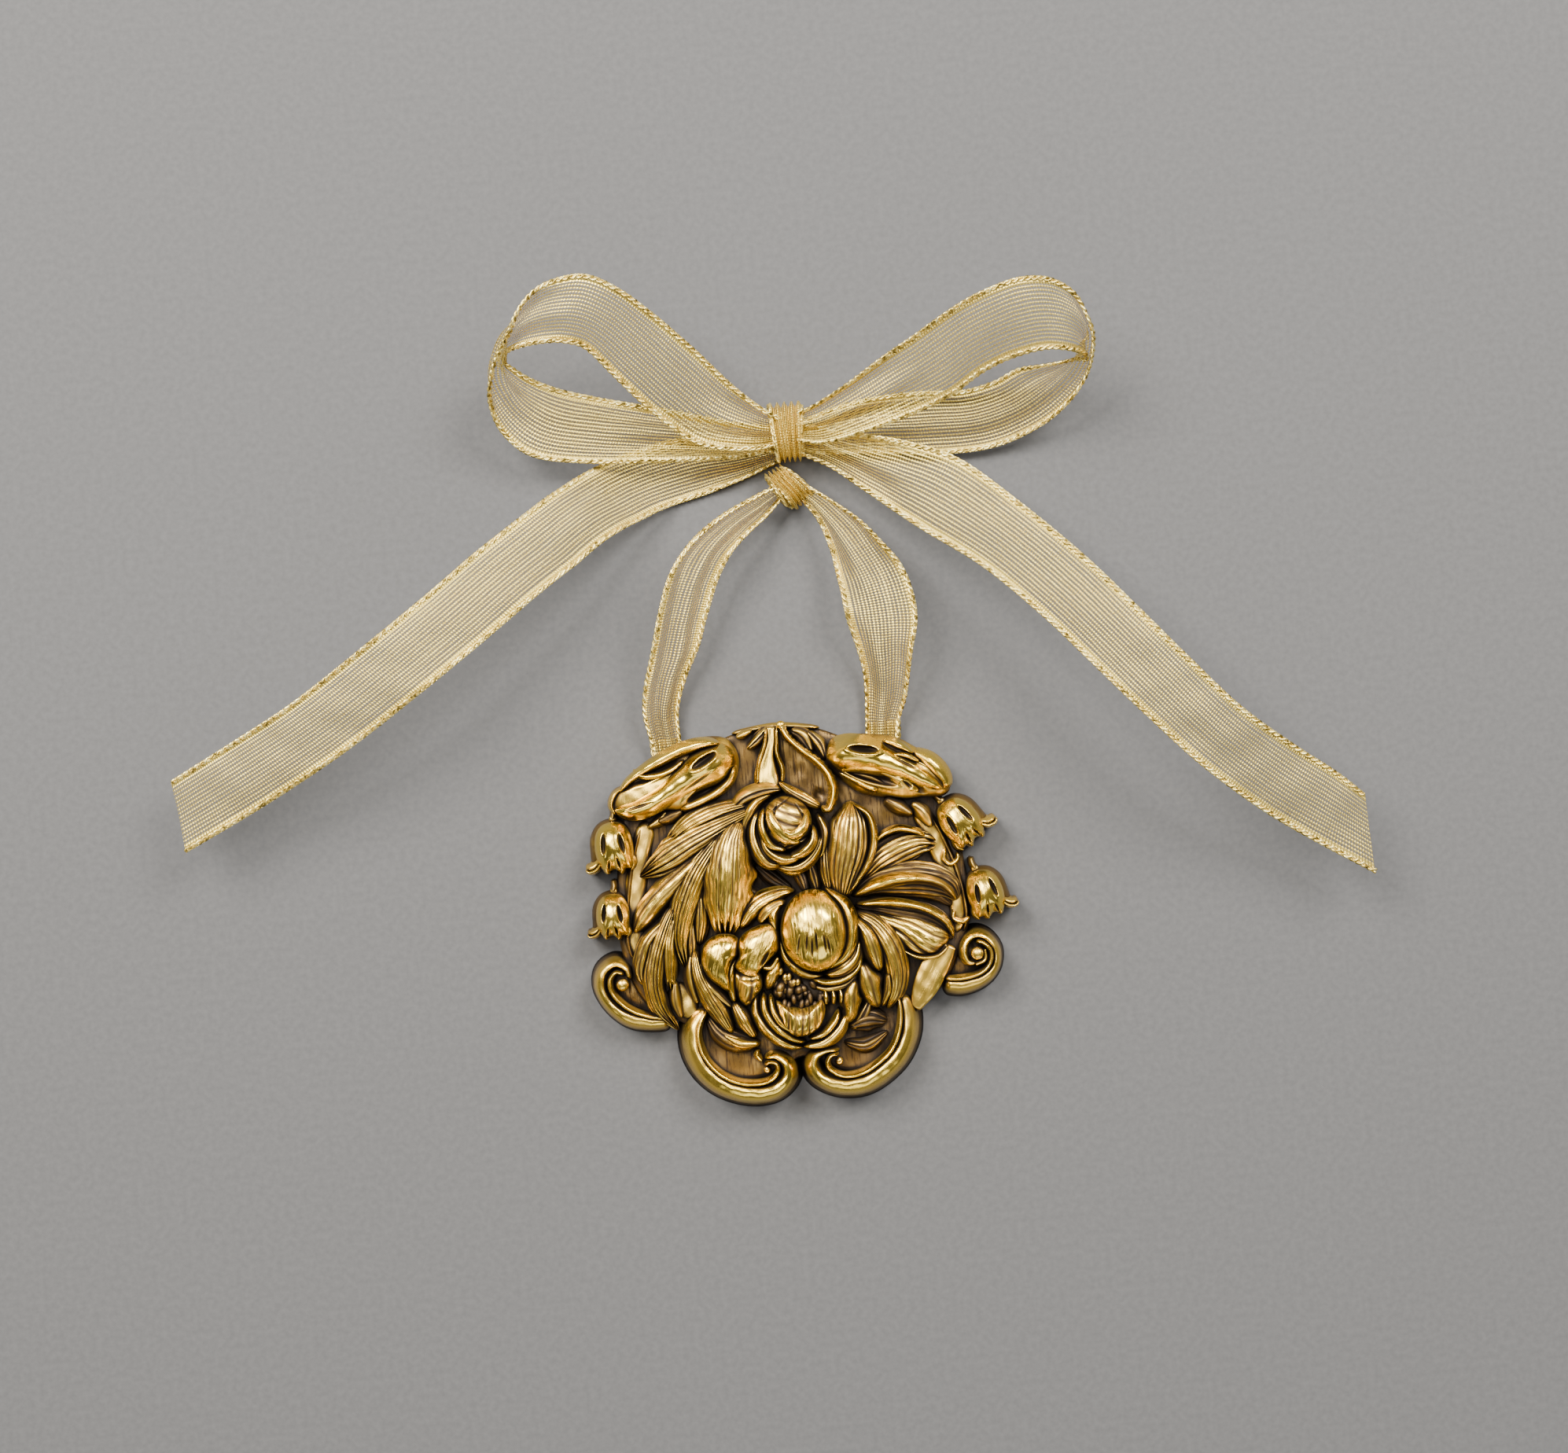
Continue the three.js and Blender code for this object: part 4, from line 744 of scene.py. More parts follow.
relief("leaf_striped",
    blade("-10.4 17.4, -13.8 13.4, -16.6 9.4, -18.6 5.2, -20 1, -20.5 -2.6, -20 -7.2", ".9 2 2.8 3.1 2.8 2.2 .9",
          "6 6.2 6.2 6 5.6 5.2 4.8", "8.6 9.6 9.8 9.6 9 8.2 6.4", 5, 9, 0.3, nu=120, lobes=(5, 1), streak=1,
          wave=(0.07, 8), root=0.25),
    blade("-16.2 6, -16.4 1.6, -17.2 -3.6", ".9 1.7 .8", "5.6 5.6 5", "8 8 6.6", 6, 4, nu=60, shade=0.2, streak=1),
    blade("-18.2 1.4, -18.6 -3, -19 -8.2", ".7 1.4 .6", "5 5.2 4.8", "7 7.2 6", 26, 3, nu=60, shade=0.2, streak=1))
relief("leaf_lower",
    blade("-20.9 4.6, -23.7 -1.2, -25.5 -6.4, -26 -10.7, -25.2 -14.5, -22.9 -18", ".9 1.8 2.2 2.2 1.8 .6",
          "5 5.4 5.6 5.4 5 4.4", "7.6 8.4 8.6 8.4 7.6 6", 8, 7, 0.28, wave=(0.09, 8), nu=120, streak=1, lobes=(4, 1),
          root=0.2),
    blade("-21 2.6, -22.5 -2.3, -22.9 -6.4, -23 -10.9", ".9 1.7 1.7 .9", "5.2 5.4 5", "7.8 8.2 7.2", 10, 5, nu=80,
          streak=1, lobes=(3, 0.6)),
    blade("-22.2 -9.6, -22.4 -13.2, -21.6 -16.6", ".7 1.2 .5", "4.6 4.8 4.4", "6.4 6.6 5.8", 11, 2, nu=60,
          shade=0.2))
relief("leaf_lobe",
    blade("-22.6 1.6, -26.2 -1.9, -27.7 -5, -28.3 -7.6, -27.9 -10.2", ".8 1.5 1.7 1.6 .7", "4.8 5 5 4.8 4.4",
          "7 7.6 7.4 7 5.8", 9, 3, 0.28, streak=1))

# ------------------------------------------------------------------ peony
relief("petal_upper",
    blade("12.4 20.4, 12 16.4, 11.4 11.9, 10.2 7.6, 9.2 2.8", "1.9 4 4.4 3.4 1.4", "6.4 6.8 6.8 6.6 6.2",
          "9.6 10.8 11 10.2 8.8", 6, 9, 0.3, nu=120, drift=0.06, ends=(0.2, 0.08), streak=1, dome=2.6, shade=0.04,
          root=-0.35),
    blade("12.6 20, 15.4 17.6, 16 13.6, 14.8 9.6, 12.4 6, 10.6 3.6", ".4 .7 .85 .8 .6 .4", "7.4 7.8 7.6 7.2",
          "9.6 10.4 10.2 9.2", 4, nu=90, nv=19, streak=0.3),
    blade("7.4 14.6, 6.9 11, 7 7.6, 7.4 4", ".6 1.3 1.4 .7", "6.2 6.4 6", "8 8.4 7.8", 5, 4, nu=60, shade=0.15))
relief("petal_right_1",
    blade("12.9 5.6, 16.2 9, 20.2 11, 24 11.8, 27 11.4", ".8 2.9 3.5 3.2 1.6", "4.6 5 5 4.8 4.6", "6.8 7.8 7.8 7 5.8",
          7, 7, 0.32, nu=100, ends=(0.1, 0.1), lobes=(3, 0.7), streak=1, shade=0.08, root=0.3),
    blade("15.8 12, 17.4 13.7, 20.4 14.7, 23.6 14, 25.6 12.8", ".4 .65 .75 .65 .4", "6 6.4 6 5.4", "7.8 8.4 8 7", 8,
          nv=17, streak=0.2))
relief("petal_right_2",
    blade("11.2 3, 15.4 5, 20 5.4, 24.6 4.9, 28.4 3.4, 30.6 .8", ".7 2.2 3.1 3.4 3 1.4", "5.6 6 6 5.6 5.2 5",
          "8 8.8 8.8 8.2 7.4 6.4", 8, 7, 0.2, cup=0.9, nu=120, drift=0.04, streak=1, shade=0.1, root=0.3),
    blade("11.4 3.2, 15 4.7, 19.4 5.6, 24 5.3, 27.8 3.8, 30.2 .9", ".6 1.2 1.3 1 .8 .5", "6.8 7.4 7.4 6.6 6",
          "9.4 10.2 9.8 8.6 7.4", 9, 1, 0.15, nu=110, nv=25, streak=0.6),
    blade("19.2 3.6, 23.4 3, 27 1.8, 29.4 -.2", ".6 1.3 1.3 .6", "4.8 5 4.8", "5.6 5.8 5.4", 10, 3, 0.12,
          shade=0.45))
relief("petal_right_3",
    blade("11.6 1.2, 16 .6, 20.2 -.4, 24.2 -1.6, 27.4 -3.8, 29 -6.4", ".7 1.3 1.9 2.3 2.1 .9", "5.4 5.6 5.6 5.2 4.8",
          "7.6 8 7.8 7 6", 10, 5, 0.22, cup=0.7, nu=110, drift=0.05, streak=1, shade=0.15, root=0.25),
    blade("11.8 1.6, 16 1.7, 20.4 1.1, 24.8 -.4, 28 -2.9, 29.2 -6", ".5 .9 .9 .75 .7 .4", "6.4 6.8 6.4 5.8",
          "8.6 9.2 8.4 7.2", 11, nu=100, nv=21, streak=0.5))
relief("petal_right_fan",
    mound([22, -4], "12.8 .2, 17 -.4, 21.6 -1.2, 25.4 -2.6, 28.2 -4.6, 28 -6.6, 25.6 -8.8, 22.4 -8.6, 19.2 -6.8, "
          "16.2 -3.4", 5, 7.4, 12, 1.15, 0.36, fan=(10.6, 2.2), nr=44, na=150, power=3, streak=1),
    blade("19 -7, 22.2 -8.9, 25.8 -9, 28.2 -7.2", ".3 .5 .5 .3", 4.8, 6.8, 13, nu=60, nv=15, streak=0.2))
relief("petal_right_outer",
    blade("11.4 .4, 14.9 -2.1, 17.2 -6, 18.2 -10.4, 17.8 -14.4, 16 -18", ".9 1.9 2.5 2.4 2 .9",
          "6.2 6.6 6.8 6.4 5.8 5", "8.8 9.8 10.2 9.8 8.6 6.8", 3, 6, 0.26, nu=120, tilt=-0.5, streak=1, root=0.25),
    blade("11.2 -.6, 13 -3.3, 14.3 -7, 15.2 -11", ".7 2 2.2 .8", "7.2 7.6 7.4 6.8", "10 11.2 10.8 9", 5, 3, 0.24,
          nu=90),
    blade("16.6 -11, 16.4 -14.2, 15 -17.4", ".5 .9 .4", "7 7 6", "9 8.8 7", 6, 2, nu=60))
relief("petal_wavy",
    blade("11.8 -8.6, 12.7 -11.6, 13.4 -14.4, 14.3 -17.6", "1.1 2.3 2.3 .9", "6.4 6.8 6.4 5.4", "9 9.8 9.2 7", 5, 2,
          0.24, wave=(0.12, 5)),
    blade("10.7 -11.6, 9.5 -14.6, 9.2 -17.6, 7.6 -20", ".9 2 1.7 .6", "6.4 6.6 6.2 5.4", "9 9.6 8.8 6.8", 7, 2, 0.24,
          wave=(0.14, 5)),
    blade("13.4 -15.4, 11.4 -18.8, 9 -21.2", ".7 1.7 .7", "4.8 5 4.6", "6.4 6.8 5.8", 8, 3, nu=60, shade=0.25))
scratches = [(3.2 + 1.05 * k + 0.25 * math.sin(k * 4), -4.2 - 0.6 * math.cos(k * 2.3), 0.22,
              1.9 + 0.7 * math.sin(k * 3.1), -4 + k * 4, 0.40) for k in range(-2, 4)]
relief("petal_globe",
    mound([4, -2], ellipse(4, -2.4, 6.3, 7.5, 20), 8, 14.8, 9, power=2.6, dents=scratches, nr=70, na=260, streak=0.5,
          turn=92),
    blade("6.4 5.2, 9.6 2, 10.6 -2.6, 9.2 -7, 5 -9.8", ".5 1.3 1.6 1.5 .6", "7.4 8.2 8.4 8 7.2",
          "10.4 12 12.4 11.4 9.6", 4, nu=90, nv=31, streak=0.5),
    blade("-2.6 -3, -1.6 -7, 1.6 -10, 5.2 -10.8", ".4 .8 1 .5", "7.2 7.6 7.2", "9 9.6 8.8", 6, nu=80, nv=21,
          shade=0.15))
relief("petal_crescent",
    blade("11.9 -4.2, 10.9 -7.6, 8.2 -9.8, 4.8 -10.6", ".6 1.7 1.9 .6", "7.2 7.6 7.6 7", "9.8 10.8 10.6 9", 4, 3,
          0.22),
    blade("12.2 -6.4, 11.2 -9.7, 8.6 -11.5, 5.4 -11.9, 2.5 -11", ".4 .8 .9 .8 .4", "7 7.4 7.2", "9.2 9.8 9.2", 6,
          nv=21, streak=0.3),
    blade("12 -8.6, 9.6 -12.2, 5.6 -13.2, 2.6 -12.4", ".5 1.2 1.2 .5", "6 6.4 6", "7.8 8.4 7.6", 7, shade=0.35))
relief("petal_cup_rim_left",
    blade("-7.7 -12.9, -7.8 -16.4, -6 -19.9, -2.9 -22.6, .2 -23.7", ".5 1.1 1.3 1.1 .4", "5.8 6.2 6.2 5.4",
          "8.2 8.8 8.6 7", 2, 1, 0.2),
    blade("-6.3 -12.8, -6.2 -16, -4.6 -19.1, -1.8 -21.6, .8 -22.6", ".5 1 1.1 .9 .4", "6.6 7 6.8 6", "9 9.6 9.4 7.8",
          4),
    blade("-5 -13.2, -4.8 -16, -3.4 -18.8, -1 -20.8", ".4 .8 .9 .4", "7 7.4 7", "9.4 10 9", 5, nv=21))
relief("petal_cup_rim_right",
    blade("0 -23.4, 3.8 -22.9, 6.8 -20.8, 8.6 -17.8", ".4 1.3 1.5 .6", "5.4 6 6.2 5.8", "7.4 8.6 8.8 7.6", 3, 3,
          0.24),
    blade("1.2 -22, 4 -21.2, 6.2 -19.2, 7.2 -17", ".4 .9 .9 .4", "6.2 6.8 6.4", "8.4 9.4 8.4", 5, nu=60, nv=21))
relief("petal_cup",
    mound([0.2, -18.6], "-4.2 -14.6, -2.2 -15.6, .2 -16.2, 2.6 -15.8, 4.4 -15, 4.6 -17.6, 3.3 -20.2, .6 -21.4, "
          "-2 -20.9, -3.8 -18.4", 7.2, 10.8, 4, 0.8, 0.2, turn=88, power=2.6, streak=0.8, nr=40))
relief("petal_left_upper",
    blade("-9.6 -1.2, -7.6 1.6, -5 3.6, -1.6 4.8, 1 5", ".8 1.7 2 1.5 .5", "5.6 6.2 6.4 6.4 6.2", "7.8 8.8 9.2 9 8.2",
          3, 4, 0.26, streak=1),
    blade("-6 -.4, -4.4 1.6, -2.4 2.9, -.8 3.2", ".6 1.5 1.4 .5", "6.6 7.2 7", "9 10 9.2", 5, 2, 0.2, nu=60),
    blade("-1.9 3, -3.4 .9, -3 -2.2", ".5 1.1 .5", "7 7.6 7", "9.4 10.2 9", 6, nu=60))
relief("petal_folded_1",
    mound([-6.6, -4.4], "-10.3 -4, -9 -2, -6.4 -.7, -3.7 -.2, -2.4 -2.2, -2.6 -5, -4.6 -7, -6.3 -8.6, -7.5 -10, "
          "-9.8 -9.2, -11.1 -7.7, -10.2 -5.8", 7.2, 11.6, 6, turn=68, dents=[(-5.6, -6.6, 0.42, 2, -34, 0.9)],
          power=2.8, nr=44, na=120),
    mound([-8.9, -11.2], "-11.6 -8.8, -9.2 -8.6, -6.7 -8.8, -6.2 -11.4, -7.9 -14.2, -9.8 -15.2, -11.4 -12.4", 6, 8.8,
          8, 0.5, 0.26, turn=75, power=2.6),
    blade("-6.3 -8.2, -4.4 -8.4, -2.9 -6.4", ".5 1 .5", 6.4, 8.6, 9, nu=50))
relief("petal_folded_2",
    mound([-13.4, -5.4], "-16.4 -3.6, -14.6 -2.1, -11.9 -1.6, -9.9 -3, -10 -5.4, -11.4 -7, -12.1 -9.2, -12.3 -12.2, "
          "-14.4 -11, -16.2 -9.2, -17.1 -6.6", 6.6, 10.8, 7, turn=76, power=2.8, nr=44, na=120),
    blade("-10.4 -6, -11.6 -8, -12 -11, -11.6 -14.6", ".5 .9 .9 .5", "6.2 6.6 6", "8.4 8.8 7.4", 8, nu=70),
    blade("-17.4 -5.8, -16.6 -9.8, -14.4 -12.8, -11.8 -15.6", ".5 1.2 1.3 .5", "5.6 6 5.4", "7.6 8.2 6.8", 10, 2,
          0.2, nu=80, shade=0.15))
relief("petal_folded_3",
    mound([-4.3, -9.6], "-6 -9.4, -4.6 -8.2, -2.5 -6.4, -2.5 -9.2, -4 -11.8, -5.8 -12.6", 6.2, 8.8, 8, 0.6, 0.26,
          turn=60, nr=26, na=72),
    mound([-8.6, -11.4], "-10.8 -10, -8.6 -9.8, -6.6 -10.2, -6.4 -11.8, -7.9 -13.8, -9.6 -14.8, -10.9 -12.6", 7.2,
          9.8, 9, 0.5, 0.26, turn=72, nr=26, na=72))
relief("petal_left_outer",
    blade("-18.3 -3.8, -17.7 -8.9, -16.2 -12.8, -14.3 -16.4, -12.3 -20.4", ".7 1.5 1.9 1.8 .7", "5.2 5.8 5.8 5.4 4.6",
          "7.6 8.8 8.8 8.2 6.4", 4, 6, 0.24, tilt=0.3, streak=1, nu=110),
    blade("-18.8 -4.6, -19.2 -8.8, -18.4 -14.2", ".8 1.5 .8", "4.6 5 4.6", "6.8 7.2 6.2", 7, 2, nu=60, shade=0.2))
relief("petal_lower_left",
    blade("-11.8 -14.2, -10.4 -17.3, -8.4 -21.2", ".9 1.6 .7", "5.4 5.8 5.2", "7.8 8.4 6.6", 5, 4, 0.24),
    blade("-14.4 -20, -11.4 -21.9, -7.6 -22.3", ".6 1.3 .6", "4.8 5.2 4.8", "6.4 7 6.2", 6, 2, 0.2, nu=50))
# Stamens: dark beads on a bed painted almost wholly dark, painted shade deep in the flower; each bead is lighter only
# on top.
beads = [blade([[-5.2, -11.6], [-1.0, -12.2], [4.0, -13.4], [8.6, -13.6]], [1.6, 2.6, 2.7, 1.6], 5.4, 6.6, seed=2,
               nu=60, nv=31, shade=0.9)]
for k in range(34):
    bx = rng.uniform(-4.2, 8.6)
    by = -12.9 - 0.13 * bx + rng.uniform(-1.9, 1.9) * (1 - abs(bx - 2) / 14)
    beads.append(ball(bx, by, rng.uniform(5.9, 7.0), rng.uniform(0.55, 0.9), 1.2, stretch=rng.uniform(1.0, 1.7),
                      turn=rng.uniform(60, 120), dark=1.55))
for k in range(6):
    beads.append(ball(-3.6 + 0.75 * k, -9.4 - 0.55 * k + 0.6 * (k % 2), 7.0, 0.6, 1.2, stretch=1.5, turn=70, dark=1.25))
for k in range(9):
    beads.append(ball(-2.6 + 0.95 * k + 0.3 * math.sin(k * 5), -15.3 - 0.7 * math.sin(k * 2.3), 8.0 - 0.1 * k, 0.5, 1.1,
                      stretch=2.0 + 0.5 * math.sin(k * 3), turn=82 + 9 * math.sin(k * 4), dark=1.6))
for k in range(3):
    beads.append(blade([[4.9 + 1.35 * k, -13.2], [5.0 + 1.4 * k, -14.6], [4.8 + 1.4 * k, -16.2]], [0.4, 0.6, 0.4],
                       [6.4, 6.8, 6.4], [8.0, 8.6, 7.8], seed=k, nu=36, nv=15, streak=0.2))
relief("stamen_cluster", *beads)

# ------------------------------------------------------------------ staples on the back
for side in ("left", "right"):
    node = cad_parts["hanger_bail_" + side]
    node.data.materials.clear()
    node.data.materials.append(plate_brass)
    for polygon in node.data.polygons:
        polygon.use_smooth = True


# ------------------------------------------------------------------ ribbon
def cloth_grid(stations, folds=2.0, phase=0.0, ripple=0.18, step=0.7, across=37, swell=0.0, floor=0.12):
    """A strip between two edges, each station being a point of one edge and the point across from it.

    Where the edges are closer than the ribbon is wide, it lies in lengthwise folds."""
    s = numbers(stations)
    rough = smooth_line((s[:, :3] + s[:, 3:]) / 2, 200)
    length = np.linalg.norm(np.diff(rough, axis=0), axis=1).sum()
    six = smooth_line(s, max(int(length / step), 24))
    a, b = six[:, :3], six[:, 3:]
    mid = (a + b) / 2
    cross = b - a
    chord = np.linalg.norm(cross, axis=1)
    normal = unit(np.cross(unit(np.gradient(mid, axis=0)), cross))
    normal *= np.where(normal[:, 2:].mean() < 0, -1, 1)
    along = run_of(mid)
    spare = np.clip((RIBBON / np.maximum(chord, 2.5)) ** 2 - 1, 0, 8)
    height = np.minimum(chord / (2 * math.pi * folds) * np.sqrt(2 * spare), 1.0)
    height = np.convolve(np.pad(height, 6, mode="edge"), np.ones(13) / 13, "valid")
    v = np.linspace(0, 1, across)
    wander = phase + 0.5 * np.sin(along / 11.0 + phase)
    wave = height[:, None] * np.sin(2 * math.pi * folds * v[None] + wander[:, None])
    wave = wave + ripple * np.sin(along[:, None] / 3.9 + 2.2 * v[None] + phase) * np.sin(math.pi * v[None] * 1.3 + 0.4)
    wave = wave + 0.3 * ripple * np.sin(along[:, None] / 1.3 + 5 * v[None])
    wave = wave + swell * np.sin(math.pi * v[None]) * np.sin(math.pi * along[:, None] / length)
    grid = a[:, None] + cross[:, None] * v[None, :, None] + normal[:, None] * wave[..., None]
    grid[..., 2] = np.maximum(grid[..., 2], floor)
    uv = np.stack(np.broadcast_arrays((v[None] - 0.5) * RIBBON, along[:, None]), -1)
    return grid, uv, length


def cloth_mesh(name, grid, uv, material):
    n, m = grid.shape[:2]
    index = np.arange(n * m).reshape(n, m)
    quads = np.stack([index[:-1, :-1], index[:-1, 1:], index[1:, 1:], index[1:, :-1]], -1).reshape(-1, 4)
    mesh = bpy.data.meshes.new(name)
    mesh.from_pydata((grid.reshape(-1, 3) * MM).tolist(), [], quads.tolist())
    layer = mesh.uv_layers.new(name="cloth")
    layer.data.foreach_set("uv", (uv.reshape(-1, 2)[quads.reshape(-1)] * MM).astype(np.float32).ravel())
    mesh.polygons.foreach_set("use_smooth", [True] * len(quads))
    return link(name, mesh, material)


def braid_mesh(name, grid):
    """Two gold threads twisted along each edge of the cloth."""
    surfaces = []
    around = np.arange(6) / 6 * 2 * math.pi
    ring_up, ring_side = np.cos(around)[None, :, None], np.sin(around)[None, :, None]
    for column, inner in ((0, 1), (-1, -2)):
        edge = grid[:, column]
        inward = unit(grid[:, inner] - edge, 1e-9)
        run = run_of(edge)
        at = np.linspace(0, run[-1], max(int(run[-1] / BRAID_STEP), 12))
        p = at_run(at, run, edge)
        side = at_run(at, run, inward)
        forward = unit(np.gradient(p, axis=0), 1e-9)
        side = unit(side - forward * (side * forward).sum(1)[:, None], 1e-9)
        up = np.cross(forward, side)
        for start in (0.0, math.pi):
            turn = at / BRAID_TWIST * math.pi + start
            centre = p + side * (0.42 + 0.3 * np.sin(turn))[:, None] + up * (0.12 * np.cos(turn))[:, None]
            centre[:, 2] = np.maximum(centre[:, 2], 0.28)
            rows = centre[:, None] + BRAID_RADIUS * (ring_up * up[:, None] + ring_side * side[:, None])
            surfaces.append(closed_grid(rows, np.zeros(rows.shape[:2]), True))
    return build(name, surfaces, gold_braid)


def cloth(name, nodes, stations, body=None, bend=None, held="hung", rests=(), material=ribbon_gauze, **shape):
    """One length of ribbon with its two corded edges."""
    grid, uv, length = cloth_grid(stations, **shape)
    sheet = cloth_mesh(name, grid, uv, material)
    edging = braid_mesh(name + "_braid", grid)
    for obj in (sheet, edging):
        if bend:
            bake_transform(obj)
        else:
            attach(obj, body)
    if nodes:
        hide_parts(*nodes)


cloth("ribbon_behind_cloth", ["ribbon_behind"], "-23.2 34.4 1.5 -17.9 34.4 1.5, -22.8 30 1.5 -17.4 31 1.5, "
      "-20.4 24.6 1.5 -15.8 28 1.5, -12 21.2 1.5 -10.6 26.4 1.5, 0 20 1.5 0 25.6 1.5, 11 21 1.5 9.6 26.2 1.5, "
      "19.2 24.4 1.5 14.4 27.8 1.5, 22.2 29.6 1.5 16.2 30.8 1.5, 22.8 34.4 1.5 16.6 34.4 1.5", body="plaque",
      held="hung", rests=["hanger_bail_left", "hanger_bail_right"], folds=4, ripple=0.03)

bend_swing = ("plaque", "hanging_ribbon", (0, 0.0325, 0.0015), (0, 0.0385, 0.0015))
cloth("strand_left_cloth", ["ribbon_strand_left"], "4 79.4 3.6 4.4 76.6 3, -1.4 77 5.4 1.2 73.4 4, "
      "-7.6 73.7 7.4 -1.6 71 5.2, -13.6 68.9 10 -5.6 67.1 6.4, -17.5 63.3 10.6 -8.4 62.6 5.8, "
      "-19.9 56.4 9.2 -10.9 56.6 4.8, -21.8 49.3 7 -13 50.4 4, -23.4 44 5 -15.8 44.8 3, -24 39.4 3 -17.6 39.4 2.2, "
      "-23.2 34.6 1.6 -17.7 34.8 1.6, -22.6 31 1.5 -17.2 31.6 1.5", bend=bend_swing, held="hung",
      rests=["ribbon_lower_knot"], folds=2, phase=0.6)
cloth("strand_right_cloth", ["ribbon_strand_right"], "8.4 79.4 4 8 76.4 3, 13.1 75.6 7 10.4 72.6 4, "
      "18.2 71.5 9 12.2 66.7 5, 21.9 67.2 9 12.9 63 6, 25.2 62.5 8 13.7 59.1 7, 26.9 57.2 8 14.1 55.9 7, "
      "27.2 52.2 8 14.6 52.7 6, 26.1 47.2 7 15.7 48.1 5, 25.2 42.6 5 16.6 43.6 3.6, 24.3 38.4 3 16.8 39.4 2.2, "
      "22.8 34.6 1.6 16.6 34.8 1.6, 22.2 31 1.5 16.4 31.4 1.5", bend=bend_swing, held="hung",
      rests=["ribbon_lower_knot"], folds=1.6, phase=2.2, ripple=0.25)

cloth("loop_left_cloth", ["ribbon_loop_left"], "5.4 91.2 6.3 5.4 86.4 5.4, 1.8 93.4 7.6 -.6 85.6 6.2, "
      "-3 97.6 10 -9.4 87 7.6, -8.8 103.6 14 -16.6 92.4 10, -15.2 109.6 18 -23.2 99.4 13, "
      "-20.8 114 21 -27.8 104.4 16, -26 116.8 22 -31.5 105.8 18, -30.8 116.9 22 -35.4 106.1 18, "
      "-35.6 115.4 21 -39.4 106.1 16, -39.8 111.8 19 -42.4 105.9 13, -43.4 107.4 16.8 -43.6 105.4 9.6, "
      "-46.4 102.4 14 -43 104.5 7.2, -47.2 97.6 10 -40.4 102.6 5.8, -45.3 92.3 6.8 -36 100.4 5, "
      "-40.3 87.8 5.4 -31.6 98.9 4.4, -31.6 85.9 5 -25.3 97.2 4, -22 85 4.6 -17.6 95.2 3.8, -12 84.6 4 -9 92.8 3.6, "
      "-2.6 84.4 3.8 -1.4 90.8 3.6, 5.4 85.4 3.6 5.4 89.6 3.6", body="bow", held="folded", rests=["ribbon_bow_knot"],
      folds=2, phase=1, swell=0.5, ripple=0.22)
cloth("loop_right_cloth", ["ribbon_loop_right"], "8.4 91.4 7.2 8.4 86.4 6.4, 12.4 92.8 8.6 13.6 85.6 7, "
      "18.2 95.8 11 21.8 87.2 8.2, 24 99.2 13.8 29.4 89.2 9.6, 30.8 102.6 17.2 36.4 91.6 12, "
      "37.6 106.2 20.6 42.6 95 14.8, 43.8 108.6 23 48.2 96.8 17.4, 49.6 109.9 23.4 53.2 97.6 18, "
      "54.8 109.5 22 57.4 97.2 17, 59 107 20 60.2 96.7 13.6, 61.4 102.4 17.6 60.8 96.6 10, "
      "62.4 97.6 14.4 58.4 96.6 7.4, 61.4 93.2 10.4 54.4 96.6 5.2, 57.6 88.6 6.4 49.8 96.6 3.6, "
      "51.6 85 3.6 45 94.8 2.2, 43.4 82.6 1.8 39 93.8 1.4, 33 82.4 1.3 30.6 94.2 1.3, 21.6 83.6 1.3 20.4 93.6 1.3, "
      "12.6 84.2 1.6 12.2 91.6 1.6, 8.4 85.6 2 8.4 89.6 2", body="bow", held="folded", rests=["ribbon_bow_knot"],
      folds=2, phase=2.4, swell=0.5, ripple=0.22)

cloth("tail_left_cloth", ["ribbon_tail_left_root", "ribbon_tail_left"], "5.4 87.4 1.4 5.4 83.8 1.4, "
      "1.4 87.9 1.2 2 82.4 1.2, -3.7 88.4 1 -1.9 80.9 .9, -13.7 89.4 .9 -8.6 78.8 .8, -24.4 87 1.6 -15.8 77 1.6, "
      "-30.8 84.2 4.4 -21.4 74.6 4.2, -37.4 80.2 8.6 -27.6 71.4 8.4, -43.9 75.5 12 -33.8 66.7 11.2, "
      "-51.5 70.1 14.4 -40.6 61.9 13.4, -61.5 62.6 16 -51.6 53.8 15, -72 55.2 17 -62.4 46.2 16, "
      "-85.4 46.6 15 -76.2 37.4 14, -97.6 40.3 12.6 -91.3 29.2 11.6, -109.3 34.4 11 -107.9 21.2 9.6",
      bend=("bow", "tail_left", (-0.027, 0.0802, 0.0085), (-0.0378, 0.0717, 0.0085)), held="laid",
      rests=["ribbon_bow_knot"], folds=2, phase=0.4, swell=0.4, ripple=0.26)
cloth("tail_right_cloth", ["ribbon_tail_right_root", "ribbon_tail_right"], "8.4 89.2 4.2 8.4 84.2 4, "
      "11.6 89.2 4.5 11.2 82.8 4.2, 15.1 88 5 14.6 80.9 4.4, 21.1 86.6 6.6 19.7 76.6 5.4, "
      "28.4 84.4 8.8 24.4 72.4 7.4, 37.3 80.2 10.8 29.6 68 9.6, 47.6 70.8 14 39.3 60.5 13, "
      "57.6 60.4 17 48.9 50.8 15.4, 65.6 50.9 19 56.8 41.6 17.2, 73.4 41.6 20 64.6 32.6 18, "
      "82.4 31.8 18.6 74.4 22.2 16.8, 92.2 23.9 15.4 85 13.2 13.6, 99.4 18.7 13 94.2 6.8 11.4, "
      "104.5 14.2 12 105.6 -.4 9.6", bend=("bow", "tail_right", (0.0295, 0.0772, 0.01), (0.0374, 0.0708, 0.0104)),
      held="laid", rests=["ribbon_bow_knot"], folds=2, phase=1.8, swell=0.4, ripple=0.26)


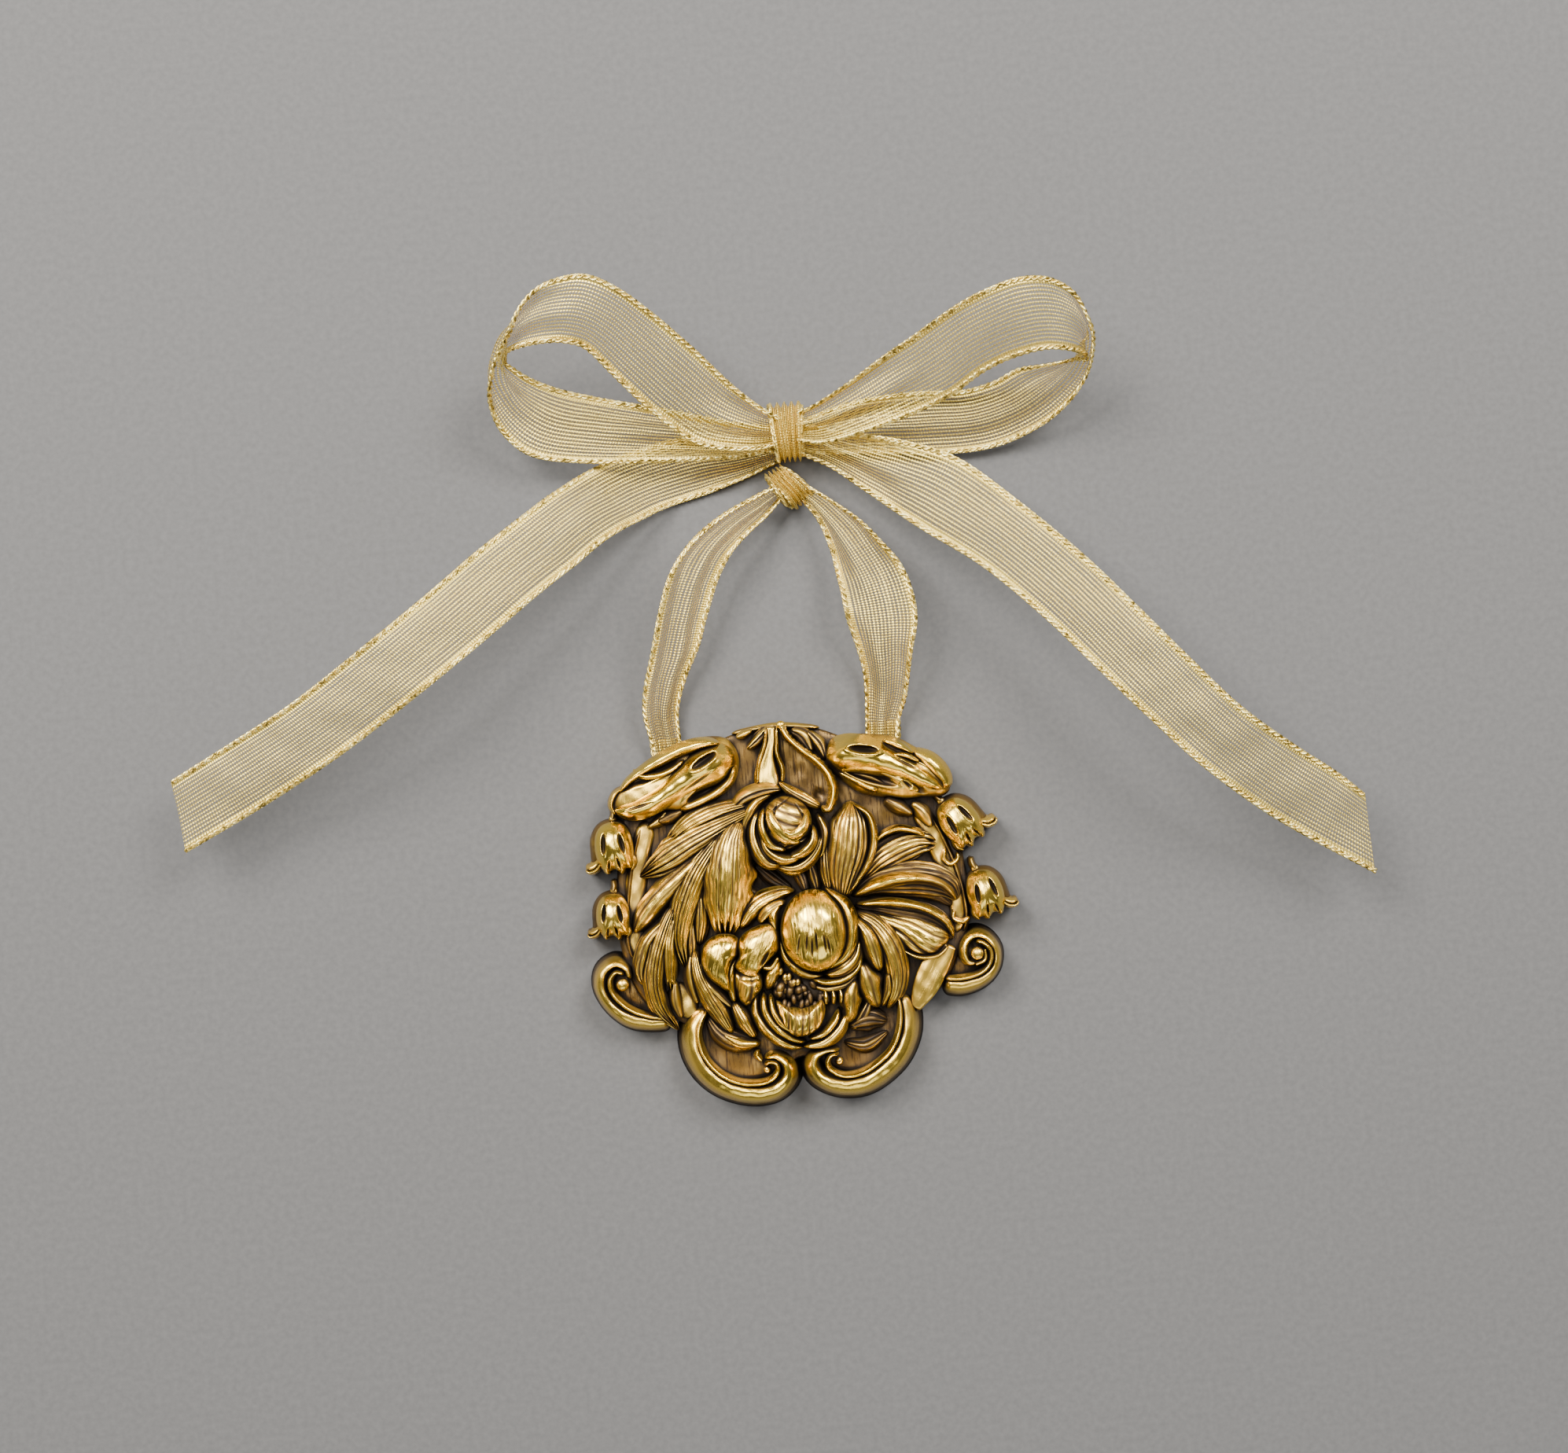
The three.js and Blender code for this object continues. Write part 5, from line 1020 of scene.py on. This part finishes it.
def wrapped_band(name, node, body, centre, plan_turn, reach, rise, width, turns, folds, phase, splay=0.0, drift=0.5):
    """A ribbon length wound round the middle of a knot, gathered into fine lengthwise pleats."""
    a = math.radians(plan_turn)
    way = np.array([math.cos(a), math.sin(a), 0])
    aside = np.array([-math.sin(a), math.cos(a), 0])
    rows = []
    for k in range(29):
        turn = math.radians(-100) + k / 28 * 2 * math.pi * turns
        spread = width * (0.5 + 0.5 * splay * math.cos(turn))
        middle = np.array(centre) + way * reach * math.cos(turn) + np.array([0, 0, rise * math.sin(turn)])
        middle += aside * drift * math.sin(turn + phase)
        rows.append([*(middle - aside * spread), *(middle + aside * spread)])
    cloth(name, [node] if node else [], rows, body=body, held="folded", rests=[], material=knot_gauze, folds=folds,
          phase=phase, ripple=0.05, step=0.35, across=12 * int(folds) + 13)


wrapped_band("bow_knot_cloth", "ribbon_bow_knot", "bow", [6.7, 88.5, 4.2], 90, 5.1, 3.6, 5.6, 1.06, 5, 0.5, 0.16,
      0.2)
wrapped_band("lower_knot_cloth", "ribbon_lower_knot", "hanging_ribbon", [5.3, 78.9, 3], -62, 3.3, 2.7, 4.2, 1.05, 5,
      1.4, 0.05, 0.3)
wrapped_band("lower_knot_cross_cloth", None, "hanging_ribbon", [6.3, 78.2, 3.6], -50, 3.2, 2.9, 4.2, 1.02, 5, 0.2,
      0.1, 0.3)

# ------------------------------------------------------------------ floor, light and camera
scene = bpy.context.scene
bpy.ops.mesh.primitive_plane_add(size=6.0, location=(0, 0.05, 0))
floor = bpy.context.object
floor.name = "floor"
paper = Nodes("pale_floor")
speckle = paper.noise(paper.add("ShaderNodeTexCoord").outputs["Object"], 900.0, 4.0)
speckle = paper.ramp(speckle, [(0.3, (0.088, 0.0875, 0.0885)), (0.7, (0.106, 0.105, 0.106))])
floor.data.materials.append(paper.finish(Base_Color=speckle, Roughness=0.85))

world = bpy.data.worlds.new("studio")
scene.world = world
world.use_nodes = True
world.node_tree.nodes["Background"].inputs[0].default_value = (0.86, 0.84, 0.82, 1)
world.node_tree.nodes["Background"].inputs[1].default_value = 0.09


def area_light(name, place, size, power, tint):
    """A soft box aimed at the middle of the plaque's top edge."""
    light = bpy.data.lights.new(name, "AREA")
    light.shape = "RECTANGLE"
    light.size, light.size_y = size
    light.energy = power
    light.color = tint
    obj = bpy.data.objects.new(name, light)
    scene.collection.objects.link(obj)
    obj.location = place
    obj.rotation_euler = (Vector((0.0, 0.03, 0.0)) - Vector(place)).to_track_quat("-Z", "Y").to_euler()


area_light("key_left", (-0.46, 0.56, 0.70), (0.46, 0.46), 23.0, (1.0, 0.96, 0.90))
area_light("key_right", (0.50, 0.54, 0.68), (0.40, 0.40), 18.0, (1.0, 0.97, 0.92))
area_light("fill_low", (0.05, -0.75, 0.50), (0.9, 0.35), 2.6, (0.95, 0.97, 1.0))
area_light("overhead", (-0.14, 0.17, 0.95), (0.40, 0.40), 5.0, (1.0, 0.97, 0.92))

camera = bpy.data.objects.new("camera", bpy.data.cameras.new("camera"))
scene.collection.objects.link(camera)
camera.location = (0.0015, 0.0349, 0.450)
camera.rotation_euler = (0, 0, math.radians(-4.8))
camera.data.sensor_width = 36
camera.data.lens = 56.0
camera.data.clip_start = 0.01
scene.camera = camera
